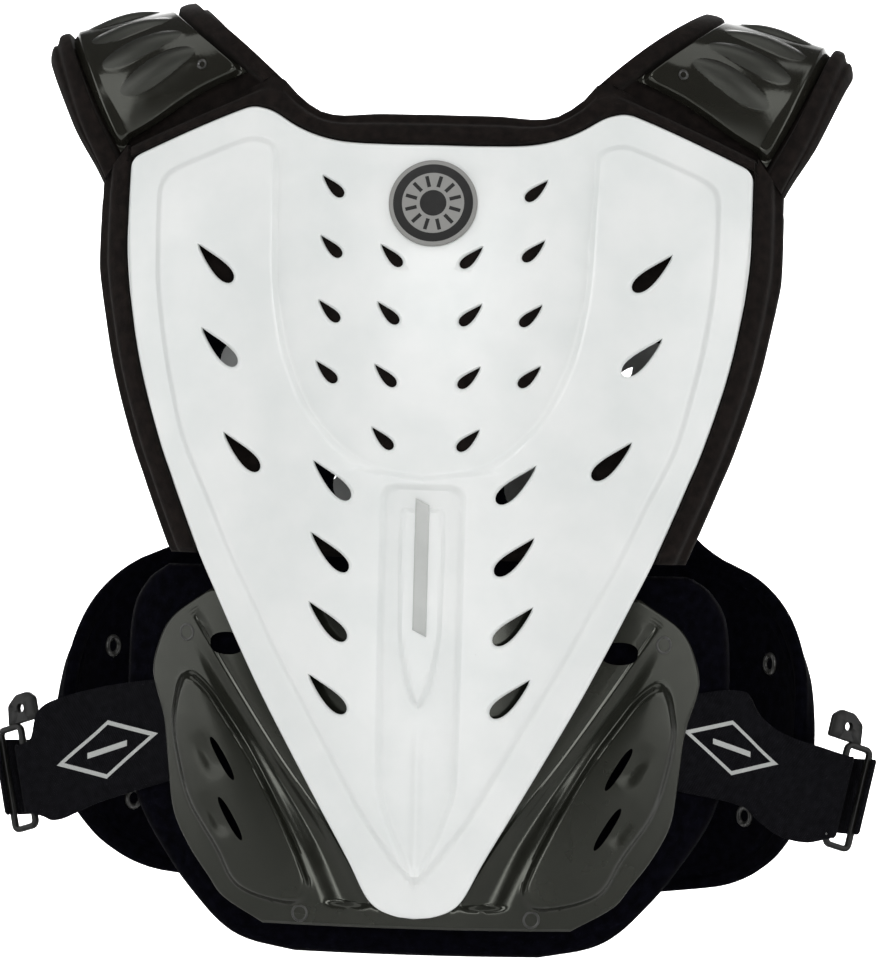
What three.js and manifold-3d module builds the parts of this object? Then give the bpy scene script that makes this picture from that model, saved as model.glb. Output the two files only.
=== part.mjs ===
// Roost deflector: a chest and back protector worn over the shoulders, in millimetres, +Z up.
// The origin lies midway between the undersides of the two shoulder pads at their highest point.
// The chest faces -Y, the wearer's sides lie along X, and everything hangs below the shoulders.
import * as THREE from 'three';
import { mergeVertices } from 'three/addons/utils/BufferGeometryUtils.js';
import Module from 'manifold-3d';

const wasm = await Module();
wasm.setup();

// Chest shell
const chestWidth = 296;
const chestHeight = 379;
const chestDrop = 42;
const chestDepth = 122;
const chestRadius = 230;
const shellWall = 3;
const neckDip = 18;
const cornerDrop = 25;
const rimWidth = 14;
const panelRaise = 3.6;
const stepRun = 3.2;
const ventLong = 24.5;
const ventWide = 7.5;
const ventShort = 13.8;
const ventSlim = 5.2;

// Foam behind the chest shell
const linerThick = 13;
const neckRise = 15;
const bandWidth = 15;
const notchDrop = 20;
const beadProud = 1;
const flangeSink = 6;
const seatGap = 1.2;
const edgeGap = 0.6;
const windowWide = 30;
const windowTall = 24;

// Lower plate and its foam
const bellyWidth = 258;
const bellyHeight = 156;
const bellyTop = 270;
const bellyRadius = 185;
const bellyWall = 3;
const sidePanelRaise = 5;
const bellyLinerWidth = 286;
const bellyLinerHeight = 180;
const bellyLinerTop = 259;
const bellyLinerThick = 9;
const pocketGap = 3.4;
const strapGap = 0.9;
const layerGap = 0.8;

// Back
const backReach = 174;
const backDepth = 112;
const backHeight = 372;
const backTop = 46;
const backThick = 10;
const hemThick = 4.5;
const backGap = 1.5;
const backShellWidth = 236;
const backShellHeight = 318;
const backShellTop = 66;

// Shoulder pads and caps
const padRootShare = 0.52;
const padApexInner = 116;
const padApexOuter = 194;
const padSlope = 24;
const railHeight = 13;
const flangeHeight = 8.5;
const bedHeight = 5;
const padGap = 1.2;
const capHeight = 8;
const capWall = 2.4;
const capGap = 0.4;
const domeLong = 44;
const domeWide = 12;
const domeRaise = 3;
const domeAcross = 0.54;

// Side straps, buckles and hooks
const strapStart = 120;
const strapReach = 197;
const strapLevel = 340;
const strapWidth = 50;
const strapThick = 1.8;
const buckleTall = 52;
const buckleWide = 17;
const buckleBar = 3;
const buckleThick = 3;
const hookTall = 14;
const hookWide = 20;
const hookHole = 4;
const webGap = 0.5;
const sewnLength = 14;
const rearGap = 0.9;
const rearShare = 0.36;

// Small parts
const badgeDiameter = 41.5;
const badgeThick = 2.4;
const badgeDown = 0.1208;
const labelWidth = 6.5;
const labelLength = 61;
const labelThick = 1;
const labelDown = 0.568;
const rivetDiameter = 8;
const rivetThick = 1.6;
const capRivetDiameter = 5;
const capRivetAcross = 0.32;
const capRivetAngle = 20;
const eyeletDiameter = 11;
const partGap = 0.3;
const rivetGap = 0.6;
const eyeletLift = 0.95;

const white = material(0xe6e8e6, 0.35);
const black = material(0x24231f, 0.2);
const capBlack = material(0x2c2b27, 0.25);
const foam = material(0x14100e, 0.9);
const webbing = material(0x101014, 0.8);
const grey = material(0x9c9c98, 0.5);
const paleGrey = material(0xc8cbc8, 0.5);
const rivetBlack = material(0x1c1c1a, 0.3);

// Each row of the chest shell: how far down it lies as a share of its height, and the half widths of
// its outline, panel edge, recess edge and rib as shares of half its width. lobe, floor and ridge are
// the heights there of the side lobes, the recess or trough floor and the rib, as shares of panelRaise.
const chestRows = [
  { down: 0.134, outline: 0.998, panel: 0.905, recess: 0.494, rib: 0.04, lobe: 1, floor: 0, ridge: 0 },
  { down: 0.217, outline: 0.984, panel: 0.897, recess: 0.486, rib: 0.04, lobe: 1, floor: 0, ridge: 0 },
  { down: 0.276, outline: 0.963, panel: 0.877, recess: 0.462, rib: 0.04, lobe: 1, floor: 0, ridge: 0 },
  { down: 0.325, outline: 0.936, panel: 0.853, recess: 0.426, rib: 0.04, lobe: 1, floor: 0, ridge: 0 },
  { down: 0.369, outline: 0.904, panel: 0.826, recess: 0.373, rib: 0.04, lobe: 1, floor: 0, ridge: 0 },
  { down: 0.404, outline: 0.875, panel: 0.802, recess: 0.301, rib: 0.04, lobe: 1, floor: 0, ridge: 0 },
  { down: 0.431, outline: 0.851, panel: 0.777, recess: 0.223, rib: 0.04, lobe: 1, floor: 0, ridge: 0 },
  { down: 0.449, outline: 0.833, panel: 0.757, recess: 0.15, rib: 0.04, lobe: 1, floor: 0, ridge: 0 },
  { down: 0.463, outline: 0.818, panel: 0.739, recess: 0.134, rib: 0.072, lobe: 1, floor: 1, ridge: 1 },
  { down: 0.485, outline: 0.796, panel: 0.711, recess: 0.134, rib: 0.072, lobe: 1, floor: 0.3, ridge: 0.9 },
  { down: 0.558, outline: 0.718, panel: 0.625, recess: 0.134, rib: 0.072, lobe: 1, floor: 0.2, ridge: 0.9 },
  { down: 0.607, outline: 0.658, panel: 0.559, recess: 0.134, rib: 0.071, lobe: 1, floor: 0.2, ridge: 0.9 },
  { down: 0.669, outline: 0.581, panel: 0.478, recess: 0.134, rib: 0.064, lobe: 1, floor: 0.2, ridge: 0.9 },
  { down: 0.731, outline: 0.5, panel: 0.389, recess: 0.134, rib: 0.032, lobe: 1, floor: 0.2, ridge: 0.5 },
  { down: 0.805, outline: 0.395, panel: 0.282, recess: 0.134, rib: 0.02, lobe: 1, floor: 0.2, ridge: 0.35 },
  { down: 0.88, outline: 0.286, panel: 0.172, recess: 0.1, rib: 0.014, lobe: 0.9, floor: 0.3, ridge: 0.4 },
  { down: 0.932, outline: 0.203, panel: 0.074, recess: 0.045, rib: 0.008, lobe: 0.6, floor: 0.3, ridge: 0.3 },
  { down: 0.954, outline: 0.163, panel: 0, recess: 0, rib: 0, lobe: 0, floor: 0, ridge: 0 },
  { down: 0.979, outline: 0.108, panel: 0, recess: 0, rib: 0, lobe: 0, floor: 0, ridge: 0 },
  { down: 0.992, outline: 0.064, panel: 0, recess: 0, rib: 0, lobe: 0, floor: 0, ridge: 0 },
  { down: 1, outline: 0, panel: 0, recess: 0, rib: 0, lobe: 0, floor: 0, ridge: 0 },
];

// How far forward the centre line of the chest stands, as a share of chestDepth.
const ridgeRows = [
  { down: -0.15, forward: 0.66 },
  { down: 0, forward: 0.75 },
  { down: 0.12, forward: 0.86 },
  { down: 0.28, forward: 0.95 },
  { down: 0.45, forward: 0.995 },
  { down: 0.62, forward: 1 },
  { down: 0.82, forward: 0.965 },
  { down: 1, forward: 0.92 },
  { down: 1.12, forward: 0.88 },
];

// The neck curve: how far the shell's top edge lies under its two peaks, as a share of neckDip.
const neckRows = [
  { across: 0, dip: 1 },
  { across: 0.15, dip: 1 },
  { across: 0.3, dip: 0.94 },
  { across: 0.39, dip: 0.76 },
  { across: 0.46, dip: 0.5 },
  { across: 0.53, dip: 0.14 },
  { across: 0.595, dip: 0 },
];
const peakAcross = 0.595;

// The vents of one side: their pointed tip as shares of half the chest width and of its height.
const ventRows = [
  { across: 0.752, down: 0.176, large: true },
  { across: 0.728, down: 0.28, large: true },
  { across: 0.643, down: 0.409, large: true },
  { across: 0.348, down: 0.441, large: true },
  { across: 0.349, down: 0.529, large: true },
  { across: 0.35, down: 0.614, large: true },
  { across: 0.346, down: 0.703, large: true },
  { across: 0.355, down: 0.088, large: false },
  { across: 0.353, down: 0.163, large: false },
  { across: 0.351, down: 0.243, large: false },
  { across: 0.353, down: 0.318, large: false },
  { across: 0.159, down: 0.173, large: false },
  { across: 0.163, down: 0.244, large: false },
  { across: 0.165, down: 0.321, large: false },
  { across: 0.168, down: 0.398, large: false },
];

// A teardrop: its half width on the bulging side and on the straighter side, along its length.
const dropRows = [
  { along: 0, bulge: 0, lean: 0 },
  { along: 0.3, bulge: 0.62, lean: 0.42 },
  { along: 0.62, bulge: 1, lean: 0.82 },
  { along: 0.88, bulge: 0.82, lean: 0.8 },
  { along: 1, bulge: 0.25, lean: 0.3 },
];

// Windows through the foam behind some of the vents.
const windowRows = [
  { across: 0.67, down: 0.31 },
  { across: 0.29, down: 0.47 },
];

// The foam's upper edge above the shell's top edge, as a share of neckRise.
const collarRows = [
  { across: 0, rise: 1 },
  { across: 0.2, rise: 0.98 },
  { across: 0.365, rise: 0.8 },
  { across: 0.44, rise: 0.95 },
  { across: 0.52, rise: 1.2 },
  { across: 0.6, rise: 0.67 },
  { across: 0.75, rise: 0.56 },
  { across: 0.88, rise: 0.57 },
  { across: 1, rise: 0.59 },
];
const linerLevels = [0, 1, 2, 3, 4, 6, 9, 10];

// The lower plate: down its height, with half widths of the groove, the side panel's inner and outer
// edge and the outline as shares of half its width. raise is the side panel's height there.
const bellyRows = [
  { down: 0, groove: 0.72, inner: 0.745, outer: 0.76, outline: 0.78, raise: 0 },
  { down: 0.09, groove: 0.86, inner: 0.88, outer: 0.9, outline: 0.93, raise: 0 },
  { down: 0.19, groove: 0.8, inner: 0.86, outer: 0.95, outline: 0.99, raise: 0 },
  { down: 0.27, groove: 0.74, inner: 0.84, outer: 0.93, outline: 1, raise: 1 },
  { down: 0.4, groove: 0.65, inner: 0.76, outer: 0.92, outline: 0.955, raise: 1 },
  { down: 0.54, groove: 0.51, inner: 0.62, outer: 0.89, outline: 0.935, raise: 1 },
  { down: 0.68, groove: 0.38, inner: 0.52, outer: 0.83, outline: 0.91, raise: 1 },
  { down: 0.78, groove: 0.28, inner: 0.45, outer: 0.75, outline: 0.85, raise: 1 },
  { down: 0.87, groove: 0.2, inner: 0.39, outer: 0.65, outline: 0.77, raise: 1 },
  { down: 0.93, groove: 0.15, inner: 0.36, outer: 0.55, outline: 0.71, raise: 0 },
  { down: 1, groove: 0.12, inner: 0.3, outer: 0.44, outline: 0.56, raise: 0 },
];

// The slanted slits of one side of the lower plate.
const slitRows = [
  { across: 0.79, down: 0.47 },
  { across: 0.76, down: 0.65 },
];
const slitLong = 21;
const slitWide = 3.6;

// The outline of the foam behind the lower plate.
const bellyLinerRows = [
  { down: 0, outline: 0.86 },
  { down: 0.04, outline: 0.93 },
  { down: 0.12, outline: 0.985 },
  { down: 0.3, outline: 1 },
  { down: 0.49, outline: 0.997 },
  { down: 0.64, outline: 0.95 },
  { down: 0.79, outline: 0.83 },
  { down: 0.87, outline: 0.745 },
  { down: 0.945, outline: 0.645 },
  { down: 0.98, outline: 0.55 },
  { down: 1, outline: 0.4 },
];

// The back pad: how far round its edge wraps, in degrees from the spine, and how deep it stands.
const backRows = [
  { down: 0.16, wrap: 53, deep: 0.95 },
  { down: 0.31, wrap: 46, deep: 1 },
  { down: 0.43, wrap: 41.5, deep: 1 },
  { down: 0.515, wrap: 42.5, deep: 0.985 },
  { down: 0.55, wrap: 49, deep: 0.975 },
  { down: 0.575, wrap: 59.5, deep: 0.965 },
  { down: 0.61, wrap: 69.5, deep: 0.96 },
  { down: 0.65, wrap: 78, deep: 0.95 },
  { down: 0.71, wrap: 88, deep: 0.94 },
  { down: 0.79, wrap: 95, deep: 0.93 },
  { down: 0.86, wrap: 91, deep: 0.94 },
  { down: 0.915, wrap: 76, deep: 0.95 },
  { down: 0.955, wrap: 65, deep: 0.96 },
  { down: 0.985, wrap: 53, deep: 0.97 },
  { down: 1, wrap: 38, deep: 0.975 },
];
const backTopRows = [
  { across: 0, drop: 0 },
  { across: 0.37, drop: 0 },
  { across: 0.53, drop: -6 },
  { across: 0.76, drop: 16 },
  { across: 1, drop: 40 },
];
const backTopHalf = 147;

// The back shell's half width down its height, as a share of half its width, and its panel.
const backShellRows = [
  { down: 0, outline: 0.62, panel: 0 },
  { down: 0.03, outline: 0.9, panel: 0 },
  { down: 0.09, outline: 1, panel: 1 },
  { down: 0.3, outline: 0.93, panel: 1 },
  { down: 0.5, outline: 0.8, panel: 1 },
  { down: 0.68, outline: 0.62, panel: 1 },
  { down: 0.84, outline: 0.42, panel: 1 },
  { down: 0.94, outline: 0.26, panel: 0 },
  { down: 0.985, outline: 0.14, panel: 0 },
  { down: 1, outline: 0, panel: 0 },
];
const backVentRows = [
  { across: 0.78, down: 0.16 },
  { across: 0.74, down: 0.29 },
  { across: 0.66, down: 0.42 },
  { across: 0.36, down: 0.2 },
  { across: 0.36, down: 0.34 },
  { across: 0.36, down: 0.48 },
  { across: 0.34, down: 0.62 },
];

// Across a shoulder pad, from its neck edge to its outer edge: where the section changes height.
const padSection = [
  { across: 0, part: 'flange' },
  { across: 0.075, part: 'flange' },
  { across: 0.09, part: 'rail' },
  { across: 0.2, part: 'rail' },
  { across: 0.215, part: 'bed' },
  { across: 0.5, part: 'bed' },
  { across: 0.8185, part: 'bed' },
  { across: 0.86, part: 'bed' },
  { across: 0.875, part: 'rail' },
  { across: 0.95, part: 'rail' },
  { across: 0.965, part: 'flange' },
  { across: 1, part: 'flange' },
];
const padAngles = [0, 12, 26, 42, 58, 75, 90, 108, 126, 144, 162, 180];
const partHeight = { flange: flangeHeight, rail: railHeight, bed: bedHeight };

// The cap's grid: its stations across the pad, how full its height is there, and its angles.
const capAcross = [
  { across: 0.23, full: 0.35 },
  { across: 0.262, full: 0.95 },
  { across: 0.4, full: 1 },
  { across: 0.54, full: 1.05 },
  { across: 0.68, full: 1 },
  { across: 0.812, full: 0.95 },
  { across: 0.845, full: 0.35 },
];
const capAngles = [
  { angle: 9, full: 0.35 },
  { angle: 14, full: 0.9 },
  { angle: 26, full: 1 },
  { angle: 42, full: 1 },
  { angle: 58, full: 1 },
  { angle: 75, full: 1 },
  { angle: 90, full: 0.9 },
  { angle: 96, full: 0.35 },
];
const domeAngles = [26, 42, 58, 75];

// The elastic straps: how far out along the strap, and their upper and lower edges against
// strapLevel as shares of strapWidth.
const strapRows = {
  left: [
    { out: 0, top: 0.54, low: -0.44 },
    { out: 0.45, top: 0.42, low: -0.68 },
    { out: 0.72, top: 0.27, low: -0.86 },
    { out: 0.84, top: 0.12, low: -0.9 },
    { out: 0.9, top: -0.12, low: -0.87 },
    { out: 1, top: -0.2, low: -0.84 },
  ],
  right: [
    { out: 0, top: 0.5, low: -0.4 },
    { out: 0.4, top: 0.54, low: -0.55 },
    { out: 0.49, top: 0.32, low: -0.68 },
    { out: 0.62, top: 0.14, low: -0.82 },
    { out: 0.84, top: 0, low: -0.9 },
    { out: 1, top: -0.08, low: -0.86 },
  ],
};

const group = new THREE.Group();
const sides = [
  { name: 'left', sign: -1 },
  { name: 'right', sign: 1 },
];

function material(color, roughness) {
  return new THREE.MeshStandardMaterial({ color, roughness, metalness: 0 });
}

function addPiece(name, geometry, finish) {
  const mesh = new THREE.Mesh(geometry, finish);
  mesh.name = name;
  group.add(mesh);
}

// The value of one column of a table at a place between its rows, on straight lines.
function valueAt(rows, place, at, column) {
  let next = rows.findIndex((row) => row[place] >= at);
  if (next < 0) next = rows.length - 1;
  if (next === 0) return rows[0][column];
  const low = rows[next - 1];
  const high = rows[next];
  const share = THREE.MathUtils.clamp((at - low[place]) / (high[place] - low[place]), 0, 1);
  return low[column] + (high[column] - low[column]) * share;
}

// The same on a smooth curve through the rows, for long soft bends.
function smoothAt(rows, place, at, column) {
  const last = rows.length - 1;
  const t = THREE.MathUtils.clamp(at, rows[0][place], rows[last][place]);
  let next = rows.findIndex((row) => row[place] >= t);
  next = Math.max(next, 1);
  const slope = (i) => {
    const a = rows[Math.max(i - 1, 0)];
    const b = rows[Math.min(i + 1, last)];
    return (b[column] - a[column]) / (b[place] - a[place]);
  };
  const a = rows[next - 1];
  const b = rows[next];
  const step = b[place] - a[place];
  const s = (t - a[place]) / step;
  const s2 = s * s;
  const s3 = s2 * s;
  return (2 * s3 - 3 * s2 + 1) * a[column] + (s3 - 2 * s2 + s) * step * slope(next - 1)
    + (3 * s2 - 2 * s3) * b[column] + (s3 - s2) * step * slope(next);
}

// A closed body between two grids of points: its two faces and the wall round their border.
function wallBody(outer, inner) {
  const positions = [];
  const index = [];
  const known = new Map();
  const vertex = (point) => {
    const key = point.map((v) => Math.round(v * 1000)).join(' ');
    if (!known.has(key)) {
      known.set(key, positions.length / 3);
      positions.push(...point);
    }
    return known.get(key);
  };
  const triangle = (a, b, c) => {
    const ids = [vertex(a), vertex(b), vertex(c)];
    if (new Set(ids).size === 3) index.push(...ids);
  };
  const quad = (a, b, c, d) => {
    triangle(a, b, c);
    triangle(a, c, d);
  };
  const rows = outer.length - 1;
  const columns = outer[0].length - 1;
  for (let i = 0; i < rows; i += 1) {
    for (let j = 0; j < columns; j += 1) {
      quad(outer[i][j], outer[i + 1][j], outer[i + 1][j + 1], outer[i][j + 1]);
      quad(inner[i][j], inner[i][j + 1], inner[i + 1][j + 1], inner[i + 1][j]);
    }
    quad(inner[i][0], inner[i + 1][0], outer[i + 1][0], outer[i][0]);
    quad(outer[i][columns], outer[i + 1][columns], inner[i + 1][columns], inner[i][columns]);
  }
  for (let j = 0; j < columns; j += 1) {
    quad(outer[0][j], outer[0][j + 1], inner[0][j + 1], inner[0][j]);
    quad(inner[rows][j], inner[rows][j + 1], outer[rows][j + 1], outer[rows][j]);
  }
  if (signedVolume(positions, index) < 0) index.reverse();
  const geometry = new THREE.BufferGeometry();
  geometry.setAttribute('position', new THREE.Float32BufferAttribute(positions, 3));
  geometry.setIndex(index);
  return geometry;
}

function signedVolume(positions, index) {
  const corner = (i) => new THREE.Vector3().fromArray(positions, index[i] * 3);
  let volume = 0;
  for (let i = 0; i < index.length; i += 3) {
    volume += corner(i).dot(corner(i + 1).cross(corner(i + 2))) / 6;
  }
  return volume;
}

function solidOf(geometry) {
  const bare = geometry.clone();
  bare.deleteAttribute('normal');
  bare.deleteAttribute('uv');
  const merged = mergeVertices(bare, 1e-4);
  return new wasm.Manifold(new wasm.Mesh({
    numProp: 3,
    vertProperties: new Float32Array(merged.attributes.position.array),
    triVerts: new Uint32Array(merged.index.array),
  }));
}

function geometryOf(solid) {
  const mesh = solid.getMesh();
  const geometry = new THREE.BufferGeometry();
  geometry.setAttribute('position', new THREE.BufferAttribute(mesh.vertProperties, 3));
  geometry.setIndex(new THREE.BufferAttribute(mesh.triVerts, 1));
  return geometry;
}

// A straight prism along Y whose outline is drawn in X and Z.
function prismAlongY(points, near, far) {
  const shape = new THREE.Shape(points.map(([x, z]) => new THREE.Vector2(x, z)));
  const geometry = new THREE.ExtrudeGeometry(shape, { depth: far - near, bevelEnabled: false });
  geometry.rotateX(Math.PI / 2);
  geometry.translate(0, far, 0);
  return solidOf(geometry);
}

// Mirrors a half row of stations into a full one, from the left edge to the right edge.
function fullRow(half, build) {
  const left = half.slice(1).reverse().map((station) => build(station, -1));
  const right = half.map((station) => build(station, 1));
  return [...left, ...right];
}

// The chest's own surface
function levelOf(down) {
  return -chestDrop - down * chestHeight;
}

function frontY(x, z) {
  const down = (-chestDrop - z) / chestHeight;
  return -chestDepth * smoothAt(ridgeRows, 'down', down, 'forward') + (x * x) / (2 * chestRadius);
}

function chestTop(x) {
  const across = Math.abs(x) / (chestWidth / 2);
  if (across < peakAcross) return -chestDrop - neckDip * smoothAt(neckRows, 'across', across, 'dip');
  return -chestDrop - cornerDrop * ((across - peakAcross) / (1 - peakAcross)) ** 1.1;
}

function chestStations(row, depthFromTop) {
  const half = chestWidth / 2;
  const foot = row.panel * half;
  const clip = (x) => Math.min(x, foot);
  const recess = clip(row.recess * half);
  const crest = clip(Math.max(foot - stepRun, recess * 0.9));
  const recessCrest = clip(Math.min(recess + stepRun, crest));
  const rib = clip(row.rib * half);
  const ribFoot = clip(Math.min(rib + stepRun * 0.6, recess));
  const height = depthFromTop === undefined || depthFromTop > rimWidth ? panelRaise : 0;
  const at = (x, share) => ({ x, lift: share * height, depthFromTop, level: levelOf(row.down) });
  return [
    at(0, row.ridge),
    at(rib, row.ridge),
    at(ribFoot, row.floor),
    at(ribFoot + (recess - ribFoot) * 0.7, row.floor),
    at(recess, row.floor),
    at(recessCrest, row.lobe),
    at(recessCrest + (crest - recessCrest) * 0.35, row.lobe * 1.12),
    at(recessCrest + (crest - recessCrest) * 0.7, row.lobe * 1.12),
    at(crest, row.lobe),
    at(foot, 0),
    at(row.outline * half, 0),
  ];
}

function chestGrid(offset) {
  const top = [0, rimWidth, rimWidth + stepRun];
  const rows = [
    ...top.map((depth) => chestStations(chestRows[0], depth)),
    ...chestRows.map((row) => chestStations(row)),
  ];
  return rows.map((stations) => fullRow(stations, (station, sign) => {
    const x = sign * station.x;
    const z = station.depthFromTop === undefined ? station.level : chestTop(x) - station.depthFromTop;
    return [x, frontY(x, z) - station.lift + offset, z];
  }));
}

// A teardrop outline with its tip up and out, leaning in and down at 45 degrees.
function dropOutline(tipX, tipZ, long, wide, sign) {
  const lean = Math.SQRT1_2;
  const place = (along, aside) => [
    sign * (tipX - (along * long + aside) * lean),
    tipZ - (along * long - aside) * lean,
  ];
  const inner = dropRows.map((row) => place(row.along, (row.lean * wide) / 2));
  const outer = dropRows.slice(1).reverse().map((row) => place(row.along, (-row.bulge * wide) / 2));
  const outline = [...inner, ...outer];
  return sign > 0 ? outline : outline.reverse();
}

function ovalOutline(centreX, centreZ, wide, tall, corners) {
  return Array.from({ length: corners }, (_, i) => {
    const turn = (i / corners) * Math.PI * 2;
    return [centreX + (Math.cos(turn) * wide) / 2, centreZ + (Math.sin(turn) * tall) / 2];
  });
}

function chestVents() {
  return sides.flatMap(({ sign }) => ventRows.map((row) => {
    const long = row.large ? ventLong : ventShort;
    const wide = row.large ? ventWide : ventSlim;
    const tipX = (row.across * chestWidth) / 2;
    return prismAlongY(dropOutline(tipX, levelOf(row.down), long, wide, sign), -chestDepth * 1.2, 0);
  }));
}

function cutAll(geometry, tools) {
  return geometryOf(tools.reduce((solid, tool) => solid.subtract(tool), solidOf(geometry)));
}

function chestShell() {
  return cutAll(wallBody(chestGrid(0), chestGrid(shellWall)), chestVents());
}

// The foam behind the chest shell: a collar and side bands stand round the shell as a rolled bead
// with a thinner flange outside it.
function collarTop(x) {
  const across = Math.min(Math.abs(x) / (chestWidth / 2), 1);
  const edge = (chestWidth / 2) * across;
  return chestTop(edge) + neckRise * valueAt(collarRows, 'across', across, 'rise');
}

function linerTop(x) {
  const past = Math.max(Math.abs(x) - chestWidth / 2, 0);
  return collarTop(x) - (past / bandWidth) * notchDrop;
}

const beadProfile = [
  { share: 0, lift: 'seat' },
  { share: 0.13, lift: 'bead' },
  { share: 0.62, lift: 'bead' },
  { share: 0.72, lift: 'flange' },
  { share: 1, lift: 'flange' },
];
const linerOffset = { seat: shellWall + seatGap, bead: -beadProud, flange: flangeSink };

function linerGrid(inside) {
  const beyond = beadProfile.map((row) => ({ past: row.share, lift: row.lift }));
  const offsetOf = (lift) => (inside ? linerThick : linerOffset[lift]);
  const stationsOf = (row) => {
    const inward = chestStations(row).filter((_, i) => i !== 1 && i !== 2);
    const edge = inward.pop().x;
    return [
      ...inward.map((station) => ({ x: station.x, past: 0, lift: 'seat' })),
      ...beyond.map(({ past, lift }) => ({ x: edge + edgeGap + past * (bandWidth - edgeGap), past, lift })),
    ];
  };
  const half = chestWidth / 2;
  const firstRow = stationsOf(chestRows[0]);
  const collar = [...beadProfile].reverse().map((row) => fullRow(firstRow, (station, sign) => {
    const edge = Math.min(station.x, half);
    const low = chestTop(edge) + edgeGap;
    const z = low + row.share * (collarTop(edge) - low) - station.past * notchDrop;
    const rolled = station.lift === 'flange' || row.lift === 'flange' ? 'flange' : 'bead';
    const lift = row.share === 0 && station.lift === 'seat' ? 'seat' : rolled;
    const x = sign * station.x;
    return [x, frontY(x, z) + offsetOf(lift), z];
  }));
  const levels = linerLevels.map((i) => fullRow(stationsOf(chestRows[i]), (station, sign) => {
    const x = sign * station.x;
    const z = levelOf(chestRows[i].down);
    return [x, frontY(x, z) + offsetOf(station.lift), z];
  }));
  return [...collar, ...levels];
}

function chestLiner() {
  const windows = sides.flatMap(({ sign }) => windowRows.map((row) => {
    const x = (sign * row.across * chestWidth) / 2;
    return prismAlongY(ovalOutline(x, levelOf(row.down), windowWide, windowTall, 8), -chestDepth * 1.2, 0);
  }));
  return cutAll(wallBody(linerGrid(false), linerGrid(true)), windows);
}

// The lower plate hangs behind the shell and falls away faster to the sides.
function bellyY(x, z) {
  return frontY(0, z) + shellWall + layerGap + (x * x) / (2 * bellyRadius);
}

function bellyGrid(offset) {
  const half = bellyWidth / 2;
  return bellyRows.map((row) => {
    const z = -bellyTop - row.down * bellyHeight;
    const stations = [
      { x: 0, lift: 0 },
      { x: row.groove * 0.5, lift: 0 },
      { x: row.groove, lift: 0 },
      { x: row.inner, lift: 0 },
      { x: row.inner + (row.outer - row.inner) * 0.22, lift: row.raise },
      { x: row.inner + (row.outer - row.inner) * 0.6, lift: row.raise * 1.15 },
      { x: row.outer - (row.outer - row.inner) * 0.08, lift: row.raise },
      { x: row.outer, lift: 0.1 * row.raise },
      { x: row.outline, lift: 0 },
    ];
    return fullRow(stations, (station, sign) => {
      const x = sign * station.x * half;
      return [x, bellyY(x, z) - station.lift * sidePanelRaise + offset, z];
    });
  });
}

function bellyShell() {
  const slits = sides.flatMap(({ sign }) => slitRows.map((row) => {
    const x = (row.across * bellyWidth) / 2;
    const z = -bellyTop - row.down * bellyHeight;
    const lean = slitLong * 0.3;
    const points = [
      [x + lean, z + slitLong / 2],
      [x - lean, z - slitLong / 2],
      [x - lean - slitWide, z - slitLong / 2],
      [x + lean - slitWide, z + slitLong / 2],
    ];
    const outline = points.map(([px, pz]) => [sign * px, pz]);
    return prismAlongY(sign > 0 ? outline.reverse() : outline, -chestDepth * 1.2, 0);
  }));
  return cutAll(wallBody(bellyGrid(0), bellyGrid(bellyWall)), slits);
}

function bellyLinerGrid(offset, taper) {
  const columns = [0, 0.3, 0.55, 0.78, 0.93, 1];
  return bellyLinerRows.map((row, i) => fullRow(columns, (share, sign) => {
    const x = (sign * share * row.outline * bellyLinerWidth) / 2;
    const z = -bellyLinerTop - row.down * bellyLinerHeight;
    const edge = share === 1 || i === 0 || i === bellyLinerRows.length - 1 ? taper : 0;
    return [x, bellyY(x, z) + bellyWall + pocketGap + offset + edge, z];
  }));
}

function bellyLiner() {
  return wallBody(bellyLinerGrid(0, 1.5), bellyLinerGrid(bellyLinerThick, -2));
}

// The back is an elliptic wall round the wearer, offset outwards by how thick each layer is.
function backPoint(angle, z, deep, outward) {
  const turn = THREE.MathUtils.degToRad(angle);
  return [
    Math.sin(turn) * (backReach + outward),
    Math.cos(turn) * (backDepth * deep + outward),
    z,
  ];
}

function backTopZ(x) {
  return -backTop - valueAt(backTopRows, 'across', Math.abs(x) / backTopHalf, 'drop');
}

function angleAt(x) {
  return THREE.MathUtils.radToDeg(Math.asin(x / backReach));
}

function backLinerGrid(outward, isOuter) {
  const columns = [0, 0.2, 0.37, 0.53, 0.76, 0.93, 1];
  const hem = isOuter ? hemThick - backThick : 0;
  const top = fullRow(columns, (share, sign) => {
    const x = sign * share * backTopHalf;
    return backPoint(angleAt(x), backTopZ(x), backRows[0].deep, outward);
  });
  const rows = backRows.map((row, i) => fullRow(columns, (share, sign) => {
    const thin = share === 1 || i === backRows.length - 1 ? hem : 0;
    const z = -backTop - row.down * backHeight;
    return backPoint(sign * share * row.wrap, z, row.deep, outward + thin);
  }));
  return [top, ...rows];
}

function backLiner() {
  const windows = sides.flatMap(({ sign }) => windowRows.map((row) => {
    const x = (sign * row.across * chestWidth) / 2;
    return prismAlongY(ovalOutline(x, levelOf(row.down), windowWide, windowTall, 8), 0, backDepth * 1.3);
  }));
  return cutAll(wallBody(backLinerGrid(backThick, true), backLinerGrid(0, false)), windows);
}

function backShellGrid(outward) {
  const columns = [0, 0.3, 0.55, 0.8, 0.86, 1];
  return backShellRows.map((row) => fullRow(columns, (share, sign) => {
    const x = (sign * share * row.outline * backShellWidth) / 2;
    const z = -backShellTop - row.down * backShellHeight;
    const deep = smoothAt(backRows, 'down', (-z - backTop) / backHeight, 'deep');
    const lift = share < 0.83 ? row.panel * panelRaise : 0;
    return backPoint(angleAt(x), z, deep, backThick + backGap + outward + lift);
  }));
}

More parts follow.
